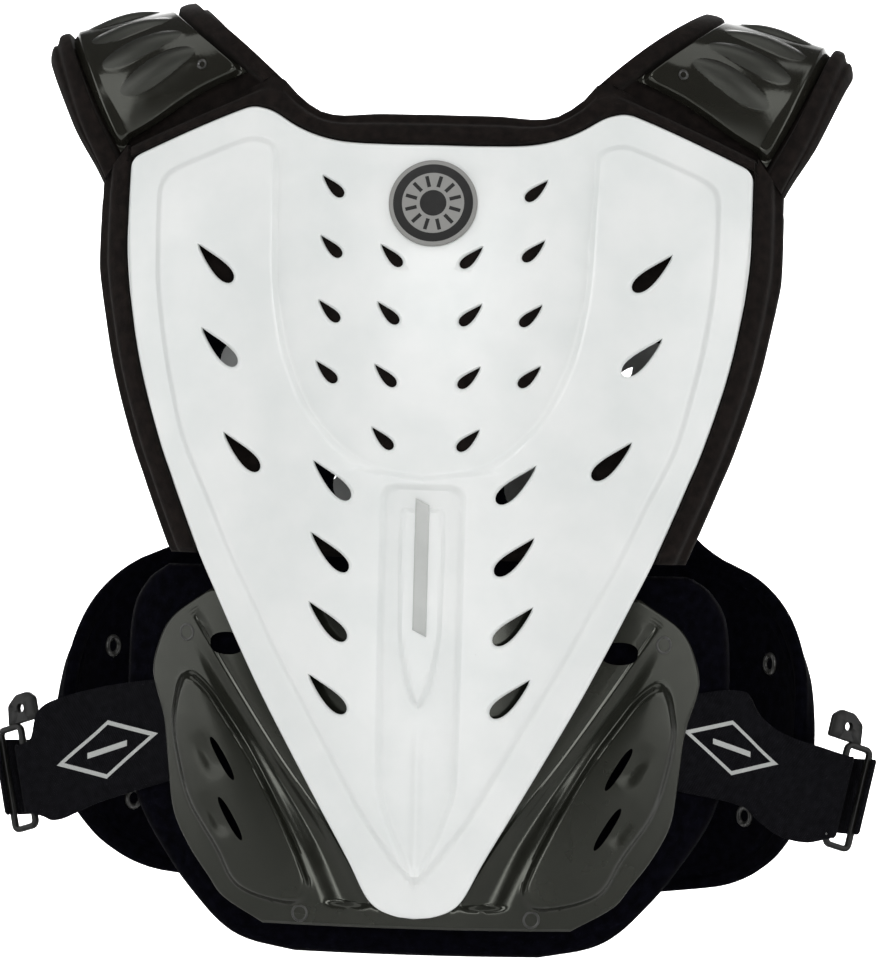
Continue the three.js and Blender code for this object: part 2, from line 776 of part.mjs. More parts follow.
function backShell() {
  const vents = sides.flatMap(({ sign }) => backVentRows.map((row) => {
    const tipX = (row.across * backShellWidth) / 2;
    const tipZ = -backShellTop - row.down * backShellHeight;
    return prismAlongY(dropOutline(tipX, tipZ, ventLong, ventWide, sign), 0, backDepth * 1.4);
  }));
  return cutAll(wallBody(backShellGrid(shellWall), backShellGrid(0)), vents);
}

// A shoulder pad bridges from the chest foam over the shoulder to the back pad. across runs from
// its neck edge to its outer edge, and angle from 0 at the chest over 90 on top to 180 at the back.
const padRootInner = (padRootShare * chestWidth) / 2;
const padRootOuter = chestWidth / 2 + bandWidth;

function padPoint(across, angle, height) {
  const turn = THREE.MathUtils.degToRad(angle);
  const frontX = padRootInner + (padRootOuter - padRootInner) * across;
  const backX = padRootInner + (backTopHalf - padRootInner) * across;
  const front = [frontX, -(frontY(frontX, linerTop(frontX)) + linerThick) + height, linerTop(frontX)];
  const back = backPoint(angleAt(backX), backTopZ(backX), backRows[0].deep, height);
  const [rootX, reach, rootZ] = angle <= 90 ? front : back;
  const apexX = padApexInner + (padApexOuter - padApexInner) * across;
  const apexZ = -padSlope * across;
  const rise = Math.sin(turn);
  return [
    rootX + (apexX - rootX) * rise,
    -Math.cos(turn) * reach,
    rootZ + padGap + (apexZ - rootZ - padGap + height) * rise,
  ];
}

function mirrorTo(sign, point) {
  return [sign * point[0], point[1], point[2]];
}

function shoulderPad(sign) {
  const grid = (top) => padAngles.map((angle) => padSection.map((row) => (
    mirrorTo(sign, padPoint(row.across, angle, top ? partHeight[row.part] : 0))
  )));
  return wallBody(grid(true), grid(false));
}

function capGridOf(sign, top) {
  return capAngles.map((line) => capAcross.map((row) => {
    const full = Math.min(line.full, row.full);
    const base = bedHeight + capGap;
    const crown = Math.max(full * capHeight, capWall + 0.1);
    const height = top ? base + crown : base + crown - capWall;
    return mirrorTo(sign, padPoint(row.across, line.angle, height));
  }));
}

function shoulderCap(sign) {
  const cap = solidOf(wallBody(capGridOf(sign, true), capGridOf(sign, false)));
  const domes = domeAngles.map((angle) => {
    const height = bedHeight + capGap + capHeight - capWall / 2;
    const centre = new THREE.Vector3(...mirrorTo(sign, padPoint(domeAcross, angle, height)));
    const aside = new THREE.Vector3(...mirrorTo(sign, padPoint(domeAcross + 0.1, angle, height)));
    const up = new THREE.Vector3(...mirrorTo(sign, padPoint(domeAcross, angle + 4, height)));
    const long = aside.sub(centre).normalize();
    const wide = up.sub(centre).normalize();
    const normal = long.clone().cross(wide).normalize();
    const square = normal.clone().cross(long).normalize();
    const dome = new THREE.SphereGeometry(1, 8, 5);
    dome.scale(domeLong / 2, domeWide / 2, domeRaise + capWall / 2);
    dome.applyMatrix4(new THREE.Matrix4().makeBasis(long, square, normal).setPosition(centre));
    return solidOf(dome);
  });
  const inside = solidOf(wallBody(
    capGridOf(sign, false),
    capAngles.map((line) => capAcross.map((row) => (
      mirrorTo(sign, padPoint(row.across, line.angle, bedHeight + capGap - capWall))
    ))),
  ));
  return geometryOf(domes.reduce((solid, dome) => solid.add(dome.subtract(inside)), cap));
}

// A flat web standing on edge: a path in plan with the place and height of its two edges.
function webBody(path, thick) {
  const normals = path.map((_, i) => {
    const a = path[Math.max(i - 1, 0)];
    const b = path[Math.min(i + 1, path.length - 1)];
    const length = Math.hypot(b.x - a.x, b.y - a.y);
    return [(b.y - a.y) / length, -(b.x - a.x) / length];
  });
  const side = (offset) => path.map((place, i) => {
    const aside = normals[i][0] * offset;
    const out = normals[i][1] * offset;
    return [
      [place.x + aside, place.y + out, place.top],
      [place.x + aside, (place.lowY ?? place.y) + out, place.low],
    ];
  });
  return wallBody(side(thick / 2), side(-thick / 2));
}

// The strap lies on the foam from under the lower plate to the foam's edge, and then runs straight
// on to the buckle.
const foamEdge = bellyLinerWidth / 2 + 2;
const strapHeading = new THREE.Vector2(1, foamEdge / bellyRadius).normalize();
const foldRadius = Math.hypot(buckleBar, buckleThick) / 2 + webGap + strapThick / 2;

function strapY(x, z) {
  const lift = bellyWall + strapGap + strapThick / 2;
  if (x < foamEdge) return bellyY(x, z) + lift;
  const share = Math.min((x - foamEdge) / (strapReach - foamEdge), 1);
  const level = z + (-strapLevel - z) * share;
  return bellyY(foamEdge, level) + lift + (x - foamEdge) * (foamEdge / bellyRadius);
}

function strapPlace(side, out) {
  const rows = strapRows[side.name];
  const height = (column) => -strapLevel + strapWidth * valueAt(rows, 'out', out, column);
  const x = strapStart + (strapReach - strapStart) * out;
  const top = height('top');
  const low = height('low');
  return { x, top, low, y: strapY(x, top), lowY: strapY(x, low) };
}

const strapStops = [0, 0.15, 0.3, 0.45, 0.6, 0.72, 0.84, 0.9, 1];

function strapBody(side) {
  const front = strapStops.map((out) => strapPlace(side, out));
  const end = front[front.length - 1];
  const fold = [30, 60, 90, 120, 150, 180].map((angle) => {
    const turn = THREE.MathUtils.degToRad(angle);
    const along = Math.sin(turn) * foldRadius;
    const behind = (1 - Math.cos(turn)) * foldRadius;
    return {
      ...end,
      x: end.x + strapHeading.x * along - strapHeading.y * behind,
      y: end.y + strapHeading.y * along + strapHeading.x * behind,
      lowY: end.lowY + strapHeading.y * along + strapHeading.x * behind,
    };
  });
  const last = fold[fold.length - 1];
  const sewn = {
    ...last,
    x: last.x - strapHeading.x * sewnLength,
    y: last.y - strapHeading.y * sewnLength,
    lowY: last.lowY - strapHeading.y * sewnLength,
  };
  const path = [...front, ...fold, sewn].map((place) => ({ ...place, x: place.x * side.sign }));
  return webBody(path, strapThick);
}

// The buckle's frame stands in the strap's plane, with its inner bar in the strap's fold.
function buckleMiddle(side) {
  const end = strapPlace(side, 1);
  const across = buckleWide / 2 - buckleBar / 2;
  return {
    x: end.x + strapHeading.x * across - strapHeading.y * foldRadius,
    y: end.y + strapHeading.y * across + strapHeading.x * foldRadius,
    z: (end.top + end.low) / 2,
  };
}

function roundedOutline(wide, tall, radius) {
  const shape = new THREE.Shape();
  const x = wide / 2;
  const z = tall / 2;
  shape.moveTo(-x + radius, -z);
  shape.lineTo(x - radius, -z);
  shape.absarc(x - radius, -z + radius, radius, -Math.PI / 2, 0, false);
  shape.absarc(x - radius, z - radius, radius, 0, Math.PI / 2, false);
  shape.absarc(-x + radius, z - radius, radius, Math.PI / 2, Math.PI, false);
  shape.absarc(-x + radius, -z + radius, radius, Math.PI, Math.PI * 1.5, false);
  return shape;
}

function plateInStrapPlane(shape, thick, side, place) {
  const geometry = new THREE.ExtrudeGeometry(shape, {
    depth: thick,
    bevelEnabled: false,
    curveSegments: 2,
  });
  geometry.translate(0, 0, -thick / 2);
  geometry.rotateX(Math.PI / 2);
  geometry.rotateZ(strapHeading.angle());
  geometry.translate(place.x, place.y, place.z);
  if (side.sign < 0) {
    geometry.scale(-1, 1, 1);
    const corners = geometry.attributes.position;
    const swap = new THREE.Vector3();
    const other = new THREE.Vector3();
    for (let i = 0; i < corners.count; i += 3) {
      swap.fromBufferAttribute(corners, i);
      other.fromBufferAttribute(corners, i + 1);
      corners.setXYZ(i, other.x, other.y, other.z);
      corners.setXYZ(i + 1, swap.x, swap.y, swap.z);
    }
  }
  return geometryOf(solidOf(geometry));
}

function buckle(side) {
  const shape = roundedOutline(buckleWide, buckleTall, 4);
  const hole = roundedOutline(buckleWide - 2 * buckleBar, buckleTall - 2 * buckleBar, 1.5);
  shape.holes.push(new THREE.Path(hole.getPoints(2).reverse()));
  return plateInStrapPlane(shape, buckleThick, side, buckleMiddle(side));
}

// The hook is an angular tab with a hole, above the buckle.
function hook(side) {
  const shape = new THREE.Shape([
    new THREE.Vector2(-hookWide / 2, -hookTall / 2),
    new THREE.Vector2(hookWide / 2, -hookTall / 2),
    new THREE.Vector2(hookWide * 0.42, hookTall * 0.2),
    new THREE.Vector2(hookWide * 0.1, hookTall / 2),
    new THREE.Vector2(-hookWide * 0.3, hookTall / 2),
    new THREE.Vector2(-hookWide / 2, hookTall * 0.25),
  ]);
  const hole = new THREE.Path();
  hole.absarc(0, 0, hookHole / 2, 0, Math.PI * 2, true);
  shape.holes.push(new THREE.Path(hole.getPoints(2)));
  const middle = buckleMiddle(side);
  middle.z += buckleTall / 2 + hookTall / 2 + partGap;
  return plateInStrapPlane(shape, buckleThick, side, middle);
}

const rearStops = [74, 66, 58];

// The rear web runs from the buckle's outer bar back round the outside of the back pad.
function rearStrap(side) {
  const middle = buckleMiddle(side);
  const out = buckleWide / 2 - buckleBar / 2;
  const bar = { x: middle.x + strapHeading.x * out, y: middle.y + strapHeading.y * out };
  const top = middle.z + strapWidth * rearShare;
  const low = middle.z - strapWidth * rearShare;
  const fold = [-90, -60, -30, 0, 30, 60, 90].map((angle) => {
    const turn = THREE.MathUtils.degToRad(angle);
    const along = Math.cos(turn) * foldRadius;
    const behind = Math.sin(turn) * foldRadius;
    return {
      x: bar.x + strapHeading.x * along - strapHeading.y * behind,
      y: bar.y + strapHeading.y * along + strapHeading.x * behind,
      top,
      low,
    };
  });
  const anchors = rearStops.map((angle) => {
    const deep = smoothAt(backRows, 'down', (-middle.z - backTop) / backHeight, 'deep');
    const [x, y] = backPoint(angle, middle.z, deep, backThick + rearGap + strapThick / 2);
    return { x, y, top, low };
  });
  const path = [...fold, ...anchors].map((place) => ({ ...place, x: place.x * side.sign }));
  return webBody(path, strapThick);
}

// A disc lying on a surface, facing along the given direction.
function disc(diameter, thick, centre, facing, corners) {
  const geometry = new THREE.CylinderGeometry(diameter / 2, diameter / 2, thick, corners);
  const turn = new THREE.Quaternion().setFromUnitVectors(
    new THREE.Vector3(0, 1, 0),
    facing.clone().normalize(),
  );
  geometry.applyQuaternion(turn);
  geometry.translate(centre.x, centre.y, centre.z);
  return geometry;
}

// The outward direction of a front surface, from its slope sideways and down.
function facingOf(surface, x, z) {
  const step = 2;
  const slopeX = (surface(x + step, z) - surface(x - step, z)) / (2 * step);
  const slopeZ = (surface(x, z + step) - surface(x, z - step)) / (2 * step);
  return new THREE.Vector3(slopeX, -1, slopeZ).normalize();
}

function onSurface(surface, x, z, lift, diameter, thick, corners) {
  const facing = facingOf(surface, x, z);
  const centre = new THREE.Vector3(x, surface(x, z), z).addScaledVector(facing, lift + thick / 2);
  return disc(diameter, thick, centre, facing, corners);
}

function labelStrip() {
  const slant = labelWidth * 0.5;
  const grid = (outward) => [-0.5, -0.17, 0.17, 0.5].map((share) => [-0.5, 0.5].map((across) => {
    const x = across * labelWidth;
    const skew = Math.abs(share) === 0.5 ? -across * slant : 0;
    const z = levelOf(labelDown) - share * labelLength + skew;
    return [x, frontY(0, z) - panelRaise * 0.9 - outward, z];
  }));
  return wallBody(grid(partGap + labelThick), grid(partGap));
}

// Rivets: on the lower plate's rim and upper arms, on the caps, and eyelets in the wings.
const bellyRivetRows = [
  { name: 'belly_rivet', across: 0.42, down: 0.965 },
  { name: 'arm_rivet', across: 0.87, down: 0.135 },
];
const wingRivetRows = [
  { name: 'wing_rivet_upper', angle: 68, down: 0.688 },
  { name: 'wing_rivet_lower', angle: 60, down: 0.89 },
];

function plateRivet(row, side) {
  const x = (side.sign * row.across * bellyWidth) / 2;
  const z = -bellyTop - row.down * bellyHeight;
  return onSurface(bellyY, x, z, rivetGap, rivetDiameter, rivetThick, 10);
}

function capRivet(side) {
  const at = (across, angle, height) => (
    new THREE.Vector3(...mirrorTo(side.sign, padPoint(across, angle, height)))
  );
  const height = bedHeight + capGap + capHeight;
  const centre = at(capRivetAcross, capRivetAngle, height);
  const aside = at(capRivetAcross + 0.04, capRivetAngle, height).sub(centre);
  const up = at(capRivetAcross, capRivetAngle + 4, height).sub(centre);
  const facing = aside.cross(up).normalize();
  if (facing.y > 0) facing.negate();
  centre.addScaledVector(facing, partGap + rivetThick / 2);
  return disc(capRivetDiameter, rivetThick, centre, facing, 8);
}

// An eyelet lies flat on the inner face of its wing, where a line from the waist meets it.
function wingRivet(row, side, wall) {
  const z = -backTop - row.down * backHeight;
  const turn = THREE.MathUtils.degToRad(side.sign * row.angle);
  const ray = new THREE.Raycaster(
    new THREE.Vector3(0, 0, z),
    new THREE.Vector3(Math.sin(turn) * backReach, Math.cos(turn) * backDepth, 0).normalize(),
  );
  const skin = new THREE.MeshBasicMaterial({ side: THREE.DoubleSide });
  const [hit] = ray.intersectObject(new THREE.Mesh(wall, skin));
  const facing = hit.face.normal.clone();
  const centre = hit.point.clone().addScaledVector(facing, eyeletLift + rivetThick / 2);
  return disc(eyeletDiameter, rivetThick, centre, facing, 10);
}

addPiece('chest_shell', chestShell(), white);
addPiece('chest_liner', chestLiner(), foam);
addPiece('belly_shell', bellyShell(), black);
addPiece('belly_liner', bellyLiner(), foam);
const backWall = backLiner();
addPiece('back_liner', backWall, foam);
addPiece('back_shell', backShell(), white);

const badgeLevel = levelOf(badgeDown);
addPiece('badge', onSurface(frontY, 0, badgeLevel, partGap, badgeDiameter, badgeThick, 24), grey);
addPiece('label_strip', labelStrip(), paleGrey);

for (const side of sides) {
  addPiece(`shoulder_pad_${side.name}`, shoulderPad(side.sign), foam);
  addPiece(`shoulder_cap_${side.name}`, shoulderCap(side.sign), capBlack);
  addPiece(`strap_${side.name}`, strapBody(side), webbing);
  addPiece(`buckle_${side.name}`, buckle(side), rivetBlack);
  addPiece(`hook_${side.name}`, hook(side), rivetBlack);
  addPiece(`rear_strap_${side.name}`, rearStrap(side), webbing);
  addPiece(`cap_rivet_${side.name}`, capRivet(side), rivetBlack);
  for (const row of bellyRivetRows) {
    addPiece(`${row.name}_${side.name}`, plateRivet(row, side), rivetBlack);
  }
  for (const row of wingRivetRows) {
    addPiece(`${row.name}_${side.name}`, wingRivet(row, side, backWall), rivetBlack);
  }
}

export default group;
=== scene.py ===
# Roost deflector: the looks of a chest and back protector that is worn over the shoulders.
# Lengths in the tables and formulas are in millimetres; the meshes are made in metres.
import math

import bmesh
import bpy
import numpy as np
from mathutils import Matrix, Vector


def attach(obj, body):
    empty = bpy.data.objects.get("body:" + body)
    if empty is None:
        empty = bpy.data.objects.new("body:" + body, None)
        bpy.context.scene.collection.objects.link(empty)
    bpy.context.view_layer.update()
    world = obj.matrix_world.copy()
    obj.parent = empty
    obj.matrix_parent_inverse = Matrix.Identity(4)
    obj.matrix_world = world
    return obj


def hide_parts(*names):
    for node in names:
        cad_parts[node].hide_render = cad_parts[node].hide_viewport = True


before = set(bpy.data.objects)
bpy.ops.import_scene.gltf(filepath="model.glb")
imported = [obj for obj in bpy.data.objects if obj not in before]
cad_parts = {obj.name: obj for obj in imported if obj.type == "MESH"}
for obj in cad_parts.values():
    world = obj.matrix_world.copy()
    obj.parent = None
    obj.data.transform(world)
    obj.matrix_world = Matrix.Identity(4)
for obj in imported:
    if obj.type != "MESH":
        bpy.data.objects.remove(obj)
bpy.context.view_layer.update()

MM = 0.001

# The chest shell
CHEST_HALF = 148
CHEST_HEIGHT = 379
CHEST_DROP = 42
CHEST_DEPTH = 122
CHEST_RADIUS = 230
SHELL_WALL = 3
NECK_DIP = 18
CORNER_DROP = 25
RIM = 14
RAISE = 3.6
STEP_RUN = 3.4
TIP_ROUND = 38
VENT_LONG, VENT_WIDE = 24.5, 7.5
VENT_SHORT, VENT_SLIM = 13.8, 5.2
EDGE_ROUND = 1.3
TOP_BLEND = 110

# Its foam
LINER_THICK = 13
NECK_RISE = 15
BAND = 15
NOTCH_DROP = 20
EDGE_GAP = 0.6
WINDOW_WIDE, WINDOW_TALL = 18, 14

# The lower plate and its foam
BELLY_HALF = 129
BELLY_HEIGHT = 156
BELLY_TOP = 270
BELLY_RADIUS = 185
BELLY_WALL = 3
PANEL_RAISE = 4
PANEL_START, PANEL_END = 0.235, 0.943
SLIT_LONG, SLIT_WIDE = 23, 3.8
SLIT_COS, SLIT_SIN = 0.857, 0.515
SLOT_PLACE, SLOT_LEVEL = 92, -295.5
SLOT_WIDE, SLOT_TALL = 8.5, 5.3
BELLY_FOAM_HALF = 143
BELLY_FOAM_HEIGHT = 180
BELLY_FOAM_TOP = 259
BELLY_FOAM_THICK = 9
POCKET_GAP = 3.4

# The back
BACK_REACH = 174
BACK_DEPTH = 112
BACK_HEIGHT = 372
BACK_TOP = 46
BACK_THICK = 10
BACK_GAP = 1.5
BACK_SHELL_HALF = 118
BACK_SHELL_HEIGHT = 318
BACK_SHELL_TOP = 66
BACK_TOP_HALF = 147
BACK_START = 0.16
BACK_ROOT_DEEP = 0.95

# Shoulder pads and caps
PAD_ROOT_INNER = 0.47 * CHEST_HALF
PAD_ROOT_OUTER = CHEST_HALF + BAND + 2
PAD_APEX_INNER = 116
PAD_APEX_OUTER = 194
PAD_SLOPE = 20
BED = 5
PAD_GAP = 1.2
PAD_SETTLE = 1.6
CAP_HEIGHT = 8
CAP_WALL = 2.4
CAP_GAP = 0.4
DOME_LONG, DOME_WIDE, DOME_RAISE = 44, 12, 2.4
DOME_ACROSS = 0.54

# Straps, buckles and hooks
STRAP_START = 120
STRAP_REACH = 197
STRAP_LEVEL = 340
STRAP_WIDTH = 50
STRAP_THICK = 1.8
BUCKLE_TALL, BUCKLE_WIDE, BUCKLE_BAR, BUCKLE_THICK = 52, 17, 3, 3
HOOK_TALL, HOOK_WIDE, HOOK_HOLE = 14, 20, 4
WEB_GAP = 0.5
SEWN = 14
REAR_GAP = 0.9
REAR_SHARE = 0.36
STRAP_GAP = 0.9

# Badge and label
BADGE_RADIUS = 20.75
BADGE_DOWN = 0.1208
LABEL_LONG, LABEL_WIDE, LABEL_SLANT = 61, 6.5, 3.2
LABEL_DOWN = 0.568

# The photograph: millimetres a pixel, and its long side in pixels
PIXEL = 0.483
PHOTO_LONG = 960

SIDES = (("left", -1), ("right", 1))

# Down the chest as a share of its height: half widths as shares of CHEST_HALF.
OUTLINE = [(-0.1, 0.999), (0.134, 0.998), (0.217, 0.984), (0.276, 0.963), (0.325, 0.936), (0.369, 0.904),
           (0.404, 0.875), (0.431, 0.851), (0.463, 0.818), (0.485, 0.796), (0.558, 0.718), (0.607, 0.658),
           (0.669, 0.581), (0.731, 0.5), (0.805, 0.395), (0.88, 0.286), (0.932, 0.21), (0.954, 0.182),
           (0.979, 0.152), (0.992, 0.135), (1, 0.125)]
PANEL = [(-0.1, 0.9), (0.134, 0.905), (0.217, 0.897), (0.276, 0.877), (0.325, 0.853), (0.369, 0.826),
         (0.404, 0.802), (0.431, 0.777), (0.463, 0.739), (0.485, 0.711), (0.558, 0.625), (0.607, 0.559),
         (0.669, 0.478), (0.731, 0.389), (0.805, 0.282), (0.88, 0.172), (0.932, 0.074), (0.954, 0.02),
         (0.97, -0.04), (1.1, -0.4)]
# Down the chest's middle: its depth as a share of CHEST_DEPTH.
RIDGE = [(-0.15, 0.66), (0, 0.75), (0.12, 0.86), (0.28, 0.95), (0.45, 0.995), (0.62, 1), (0.82, 0.965),
         (1, 0.92), (1.12, 0.88)]
# Across the chest as a share of CHEST_HALF: the neck's dip, and where the peaks stand.
NECK = [(0, 1), (0.15, 1), (0.3, 0.94), (0.39, 0.76), (0.46, 0.5), (0.53, 0.14), (0.595, 0)]
PEAK = 0.595
# Half widths in millimetres of the recess, the trough under it and the rib in the trough.
RECESS = [(-0.1, 75), (0.058, 74.2), (0.138, 73.1), (0.218, 71.9), (0.278, 68.4), (0.316, 64.5),
          (0.371, 55.2), (0.401, 46.6), (0.430, 34), (0.448, 19.3), (0.4552, 0), (0.465, -26), (0.5, -120)]
TROUGH = [(0, 19.9), (0.83, 19.4), (0.88, 14.8), (0.932, 6.2), (0.954, 1), (0.97, -4), (1.1, -30)]
RIB = [(0.49, -12), (0.497, 7), (0.506, 10.6), (0.62, 10.5), (0.6585, 9.9), (0.7, 7), (0.725, 4.2),
       (0.7416, 0), (0.76, -7), (1, -60)]
# Vents: share of CHEST_HALF, share of the height, and 1 for a large one.
VENTS = [(0.752, 0.176, 1), (0.728, 0.28, 1), (0.643, 0.409, 1), (0.348, 0.441, 1), (0.349, 0.529, 1),
         (0.35, 0.614, 1), (0.346, 0.703, 1), (0.355, 0.088, 0), (0.353, 0.163, 0), (0.351, 0.243, 0),
         (0.353, 0.318, 0), (0.159, 0.173, 0), (0.163, 0.244, 0), (0.165, 0.321, 0), (0.168, 0.398, 0)]
# How high the foam stands above the shell, as shares of NECK_RISE across the chest.
COLLAR = [(0, 1), (0.2, 0.98), (0.365, 0.8), (0.44, 0.95), (0.52, 1.2), (0.6, 0.67), (0.75, 0.56),
          (0.88, 0.57), (1, 0.59)]
# The shell's rows gather at these places: share of the height, width of the crowd and its strength.
SHELL_ROWS = [(0.46, 0.016, 2.2), (0, 0.006, 3), (0.042, 0.012, 1.6), (1, 0.02, 1.5), (0.735, 0.02, 0.8)]
# A vent's rings: depth behind the surface, and how much wider than its outline.
VENT_RINGS = [(-6, 2.6), (-0.5, 1.75), (0, 1.5), (0.45, 0.9), (1.1, 0.35), (1.9, 0), (12, 0)]

# The foam's front against the shell's, by the share of the way out: its bead, and its bed under a cap.
BEAD = [(0, 3.6), (0.03, 1.2), (0.09, -0.5), (0.18, -1.2), (0.4, -1.6), (0.56, -1.25), (0.62, -0.3),
        (0.655, 2.2), (0.69, 5), (0.73, 5.8), (0.93, 6), (0.97, 6.8), (1, 9)]
BEAD_SUNK = [(0, 3.6), (0.03, 1.2), (0.09, -0.5), (0.18, -1), (0.45, -1.3), (0.56, -0.6), (0.61, 1.5),
             (0.66, 6), (0.72, 8), (1, 8)]
# The foam's oval windows: share of CHEST_HALF, and share of the chest's height.
WINDOWS = [(0.67, 0.31), (0.29, 0.47)]

# Down the lower plate: half widths as shares of BELLY_HALF.
BELLY_GROOVE = [(0, 0.89), (0.035, 0.868), (0.1, 0.82), (0.25, 0.703), (0.49, 0.506), (0.717, 0.302),
                (0.935, 0.142), (1, 0.1)]
BELLY_INNER = [(0, 0.94), (0.05, 0.915), (0.12, 0.885), (0.26, 0.8), (0.49, 0.61), (0.75, 0.439),
               (0.935, 0.347), (1, 0.31)]
BELLY_OUTER = [(0, 0.75), (0.09, 0.89), (0.2, 0.915), (0.3, 0.912), (0.4, 0.925), (0.51, 0.905),
               (0.65, 0.853), (0.79, 0.744), (0.89, 0.678), (0.935, 0.62), (1, 0.5)]
BELLY_OUTLINE = [(0, 0.78), (0.09, 0.93), (0.19, 0.99), (0.27, 1), (0.4, 0.955), (0.54, 0.935),
                 (0.68, 0.91), (0.78, 0.85), (0.87, 0.77), (0.93, 0.71), (1, 0.56)]
# The same of its foam, and the plate's slits: share of the half width and of the height.
BELLY_FOAM = [(0, 0.86), (0.04, 0.93), (0.12, 0.985), (0.3, 1), (0.49, 0.997), (0.64, 0.95), (0.79, 0.83),
              (0.87, 0.745), (0.945, 0.645), (0.98, 0.55), (1, 0.4)]
SLITS = [(0.735, 0.51), (0.7, 0.69)]

# The back pad: how far round its edge wraps in degrees, and how deep it stands.
BACK_WRAP = [(0.16, 53), (0.31, 46), (0.43, 41.5), (0.515, 42.5), (0.55, 49), (0.575, 59.5), (0.61, 69.5),
             (0.65, 78), (0.71, 88), (0.79, 95), (0.86, 91), (0.915, 76), (0.955, 65), (0.985, 53), (1, 38)]
BACK_DEEP = [(0.16, 0.95), (0.31, 1), (0.43, 1), (0.515, 0.985), (0.55, 0.975), (0.575, 0.965),
             (0.61, 0.96), (0.65, 0.95), (0.71, 0.94), (0.79, 0.93), (0.86, 0.94), (0.915, 0.95),
             (0.955, 0.96), (0.985, 0.97), (1, 0.975)]
# Its upper edge: how far below BACK_TOP at each share of BACK_TOP_HALF.
BACK_TOP_ROWS = [(0, 0), (0.37, 0), (0.53, -6), (0.76, 16), (1, 40)]
# The back's shield: half widths as shares of BACK_SHELL_HALF, and its vents.
BACK_SHELL_OUTLINE = [(0, 0.62), (0.03, 0.9), (0.09, 1), (0.3, 0.93), (0.5, 0.8), (0.68, 0.62),
                      (0.84, 0.42), (0.94, 0.26), (0.985, 0.14), (1, 0)]
BACK_VENTS = [(0.78, 0.16), (0.74, 0.29), (0.66, 0.42), (0.36, 0.2), (0.36, 0.34), (0.36, 0.48),
              (0.34, 0.62)]

# Across a shoulder pad: its height at each place.
PAD_PROFILE = [(0, 4), (0.01, 7), (0.025, 8.3), (0.045, 8.6), (0.07, 8.4), (0.078, 9.4), (0.088, 12),
               (0.1, 12.9), (0.15, 13.3), (0.188, 12.9), (0.2, 12), (0.209, 8.5), (0.216, 5.6), (0.23, 5),
               (0.54, 5), (0.855, 5), (0.862, 5.6), (0.87, 8.5), (0.878, 12), (0.888, 12.9), (0.912, 13.2),
               (0.936, 12.9), (0.947, 12), (0.955, 9.4), (0.962, 8.4), (0.98, 8.5), (0.992, 7), (1, 4)]
# A cap's domes: angle over the shoulder, length, width and slant, as shares of the first sizes.
DOMES = [(26, 1.02, 1.08, 0.8), (42, 1, 1.08, -0.4), (58, 0.92, 1, -0.6), (75, 0.8, 0.9, 0)]

# Rivets: on the lower plate by width and height, and on the wings by angle and height.
PLATE_RIVETS = [("belly_rivet", 0.42, 0.965), ("arm_rivet", 0.87, 0.135)]
WING_RIVETS = [("wing_rivet_upper", 68, 0.688), ("wing_rivet_lower", 60, 0.89)]
EYELET = [(2.6, -0.3), (5.5, -0.3), (5.6, 0.4), (5.2, 1.2), (4.4, 1.6), (3.6, 1.4), (2.9, 0.8), (2.6, -0.3)]

# A strap's upper and lower edge along it, as shares of STRAP_WIDTH, and its woven mark: place along and
# across, half length and half width.
STRAP_MARKS = {"left": (40, 2, 33, 14), "right": (30, -4, 28, 13)}
STRAP_EDGES = {
    "left": {"top": [(0, 0.54), (0.45, 0.42), (0.72, 0.27), (0.84, 0.12), (0.9, -0.12), (1, -0.2)],
             "low": [(0, -0.44), (0.45, -0.68), (0.72, -0.86), (0.84, -0.9), (0.9, -0.87), (1, -0.84)]},
    "right": {"top": [(0, 0.5), (0.4, 0.54), (0.49, 0.32), (0.62, 0.14), (0.84, 0), (1, -0.08)],
              "low": [(0, -0.4), (0.4, -0.55), (0.49, -0.68), (0.62, -0.82), (0.84, -0.9), (1, -0.86)]},
}


# ---- Curves and blends


def curve(rows, at):
    """The value at `at` on the cubic through the rows (place, value), whose slope at a row is that of
    the line between its two neighbours. Outside the rows it stays at the end value."""
    place, value = np.asarray(rows, float).T
    last = len(place) - 1
    before, after = np.maximum(np.arange(last + 1) - 1, 0), np.minimum(np.arange(last + 1) + 1, last)
    slope = (value[after] - value[before]) / (place[after] - place[before])
    t = np.clip(at, place[0], place[-1])
    i = np.clip(np.searchsorted(place, t) - 1, 0, last - 1)
    step = place[i + 1] - place[i]
    s = (t - place[i]) / step
    return ((2 * s**3 - 3 * s**2 + 1) * value[i] + (s**3 - 2 * s**2 + s) * step * slope[i]
            + (3 * s**2 - 2 * s**3) * value[i + 1] + (s**3 - s**2) * step * slope[i + 1])


def line(rows, at):
    """The same on straight lines."""
    place, value = np.asarray(rows, float).T
    return np.interp(at, place, value)


def ramp(distance, run):
    """0 below 0, 1 above run, and s*s*(3-2s) between."""
    s = np.clip(distance / run, 0, 1)
    return s * s * (3 - 2 * s)


def soft_min(a, b, k):
    """The smaller of two values, rounded where they are within k of each other."""
    h = np.maximum(k - np.abs(a - b), 0) / k
    return np.minimum(a, b) - h * h * k / 4


def bell(value, middle, width):
    """A smooth hump of height 1 at the middle: exp(-((value - middle) / width)^2)."""
    return np.exp(-(((value - middle) / width) ** 2))


def across_slope(rows, down, unit, height):
    """How much longer a level cut through a leaning edge is than a square one."""
    d = 0.004
    lean = (curve(rows, down + d) - curve(rows, down - d)) * unit / (2 * d * height)
    return np.sqrt(1 + lean * lean)


def round_off(distance, radius):
    """How far a surface falls away within `radius` of its edge, as a quarter circle."""
    s = np.clip(1 - distance / radius, 0, 1)
    return radius * (1 - np.sqrt(1 - s * s))


def packed(count, ends):
    """`count`+1 values from 0 to 1, closer together at both ends: u - ends*sin(2 pi u)/(2 pi)."""
    u = np.linspace(0, 1, count + 1)
    return u - ends * np.sin(2 * np.pi * u) / (2 * np.pi)


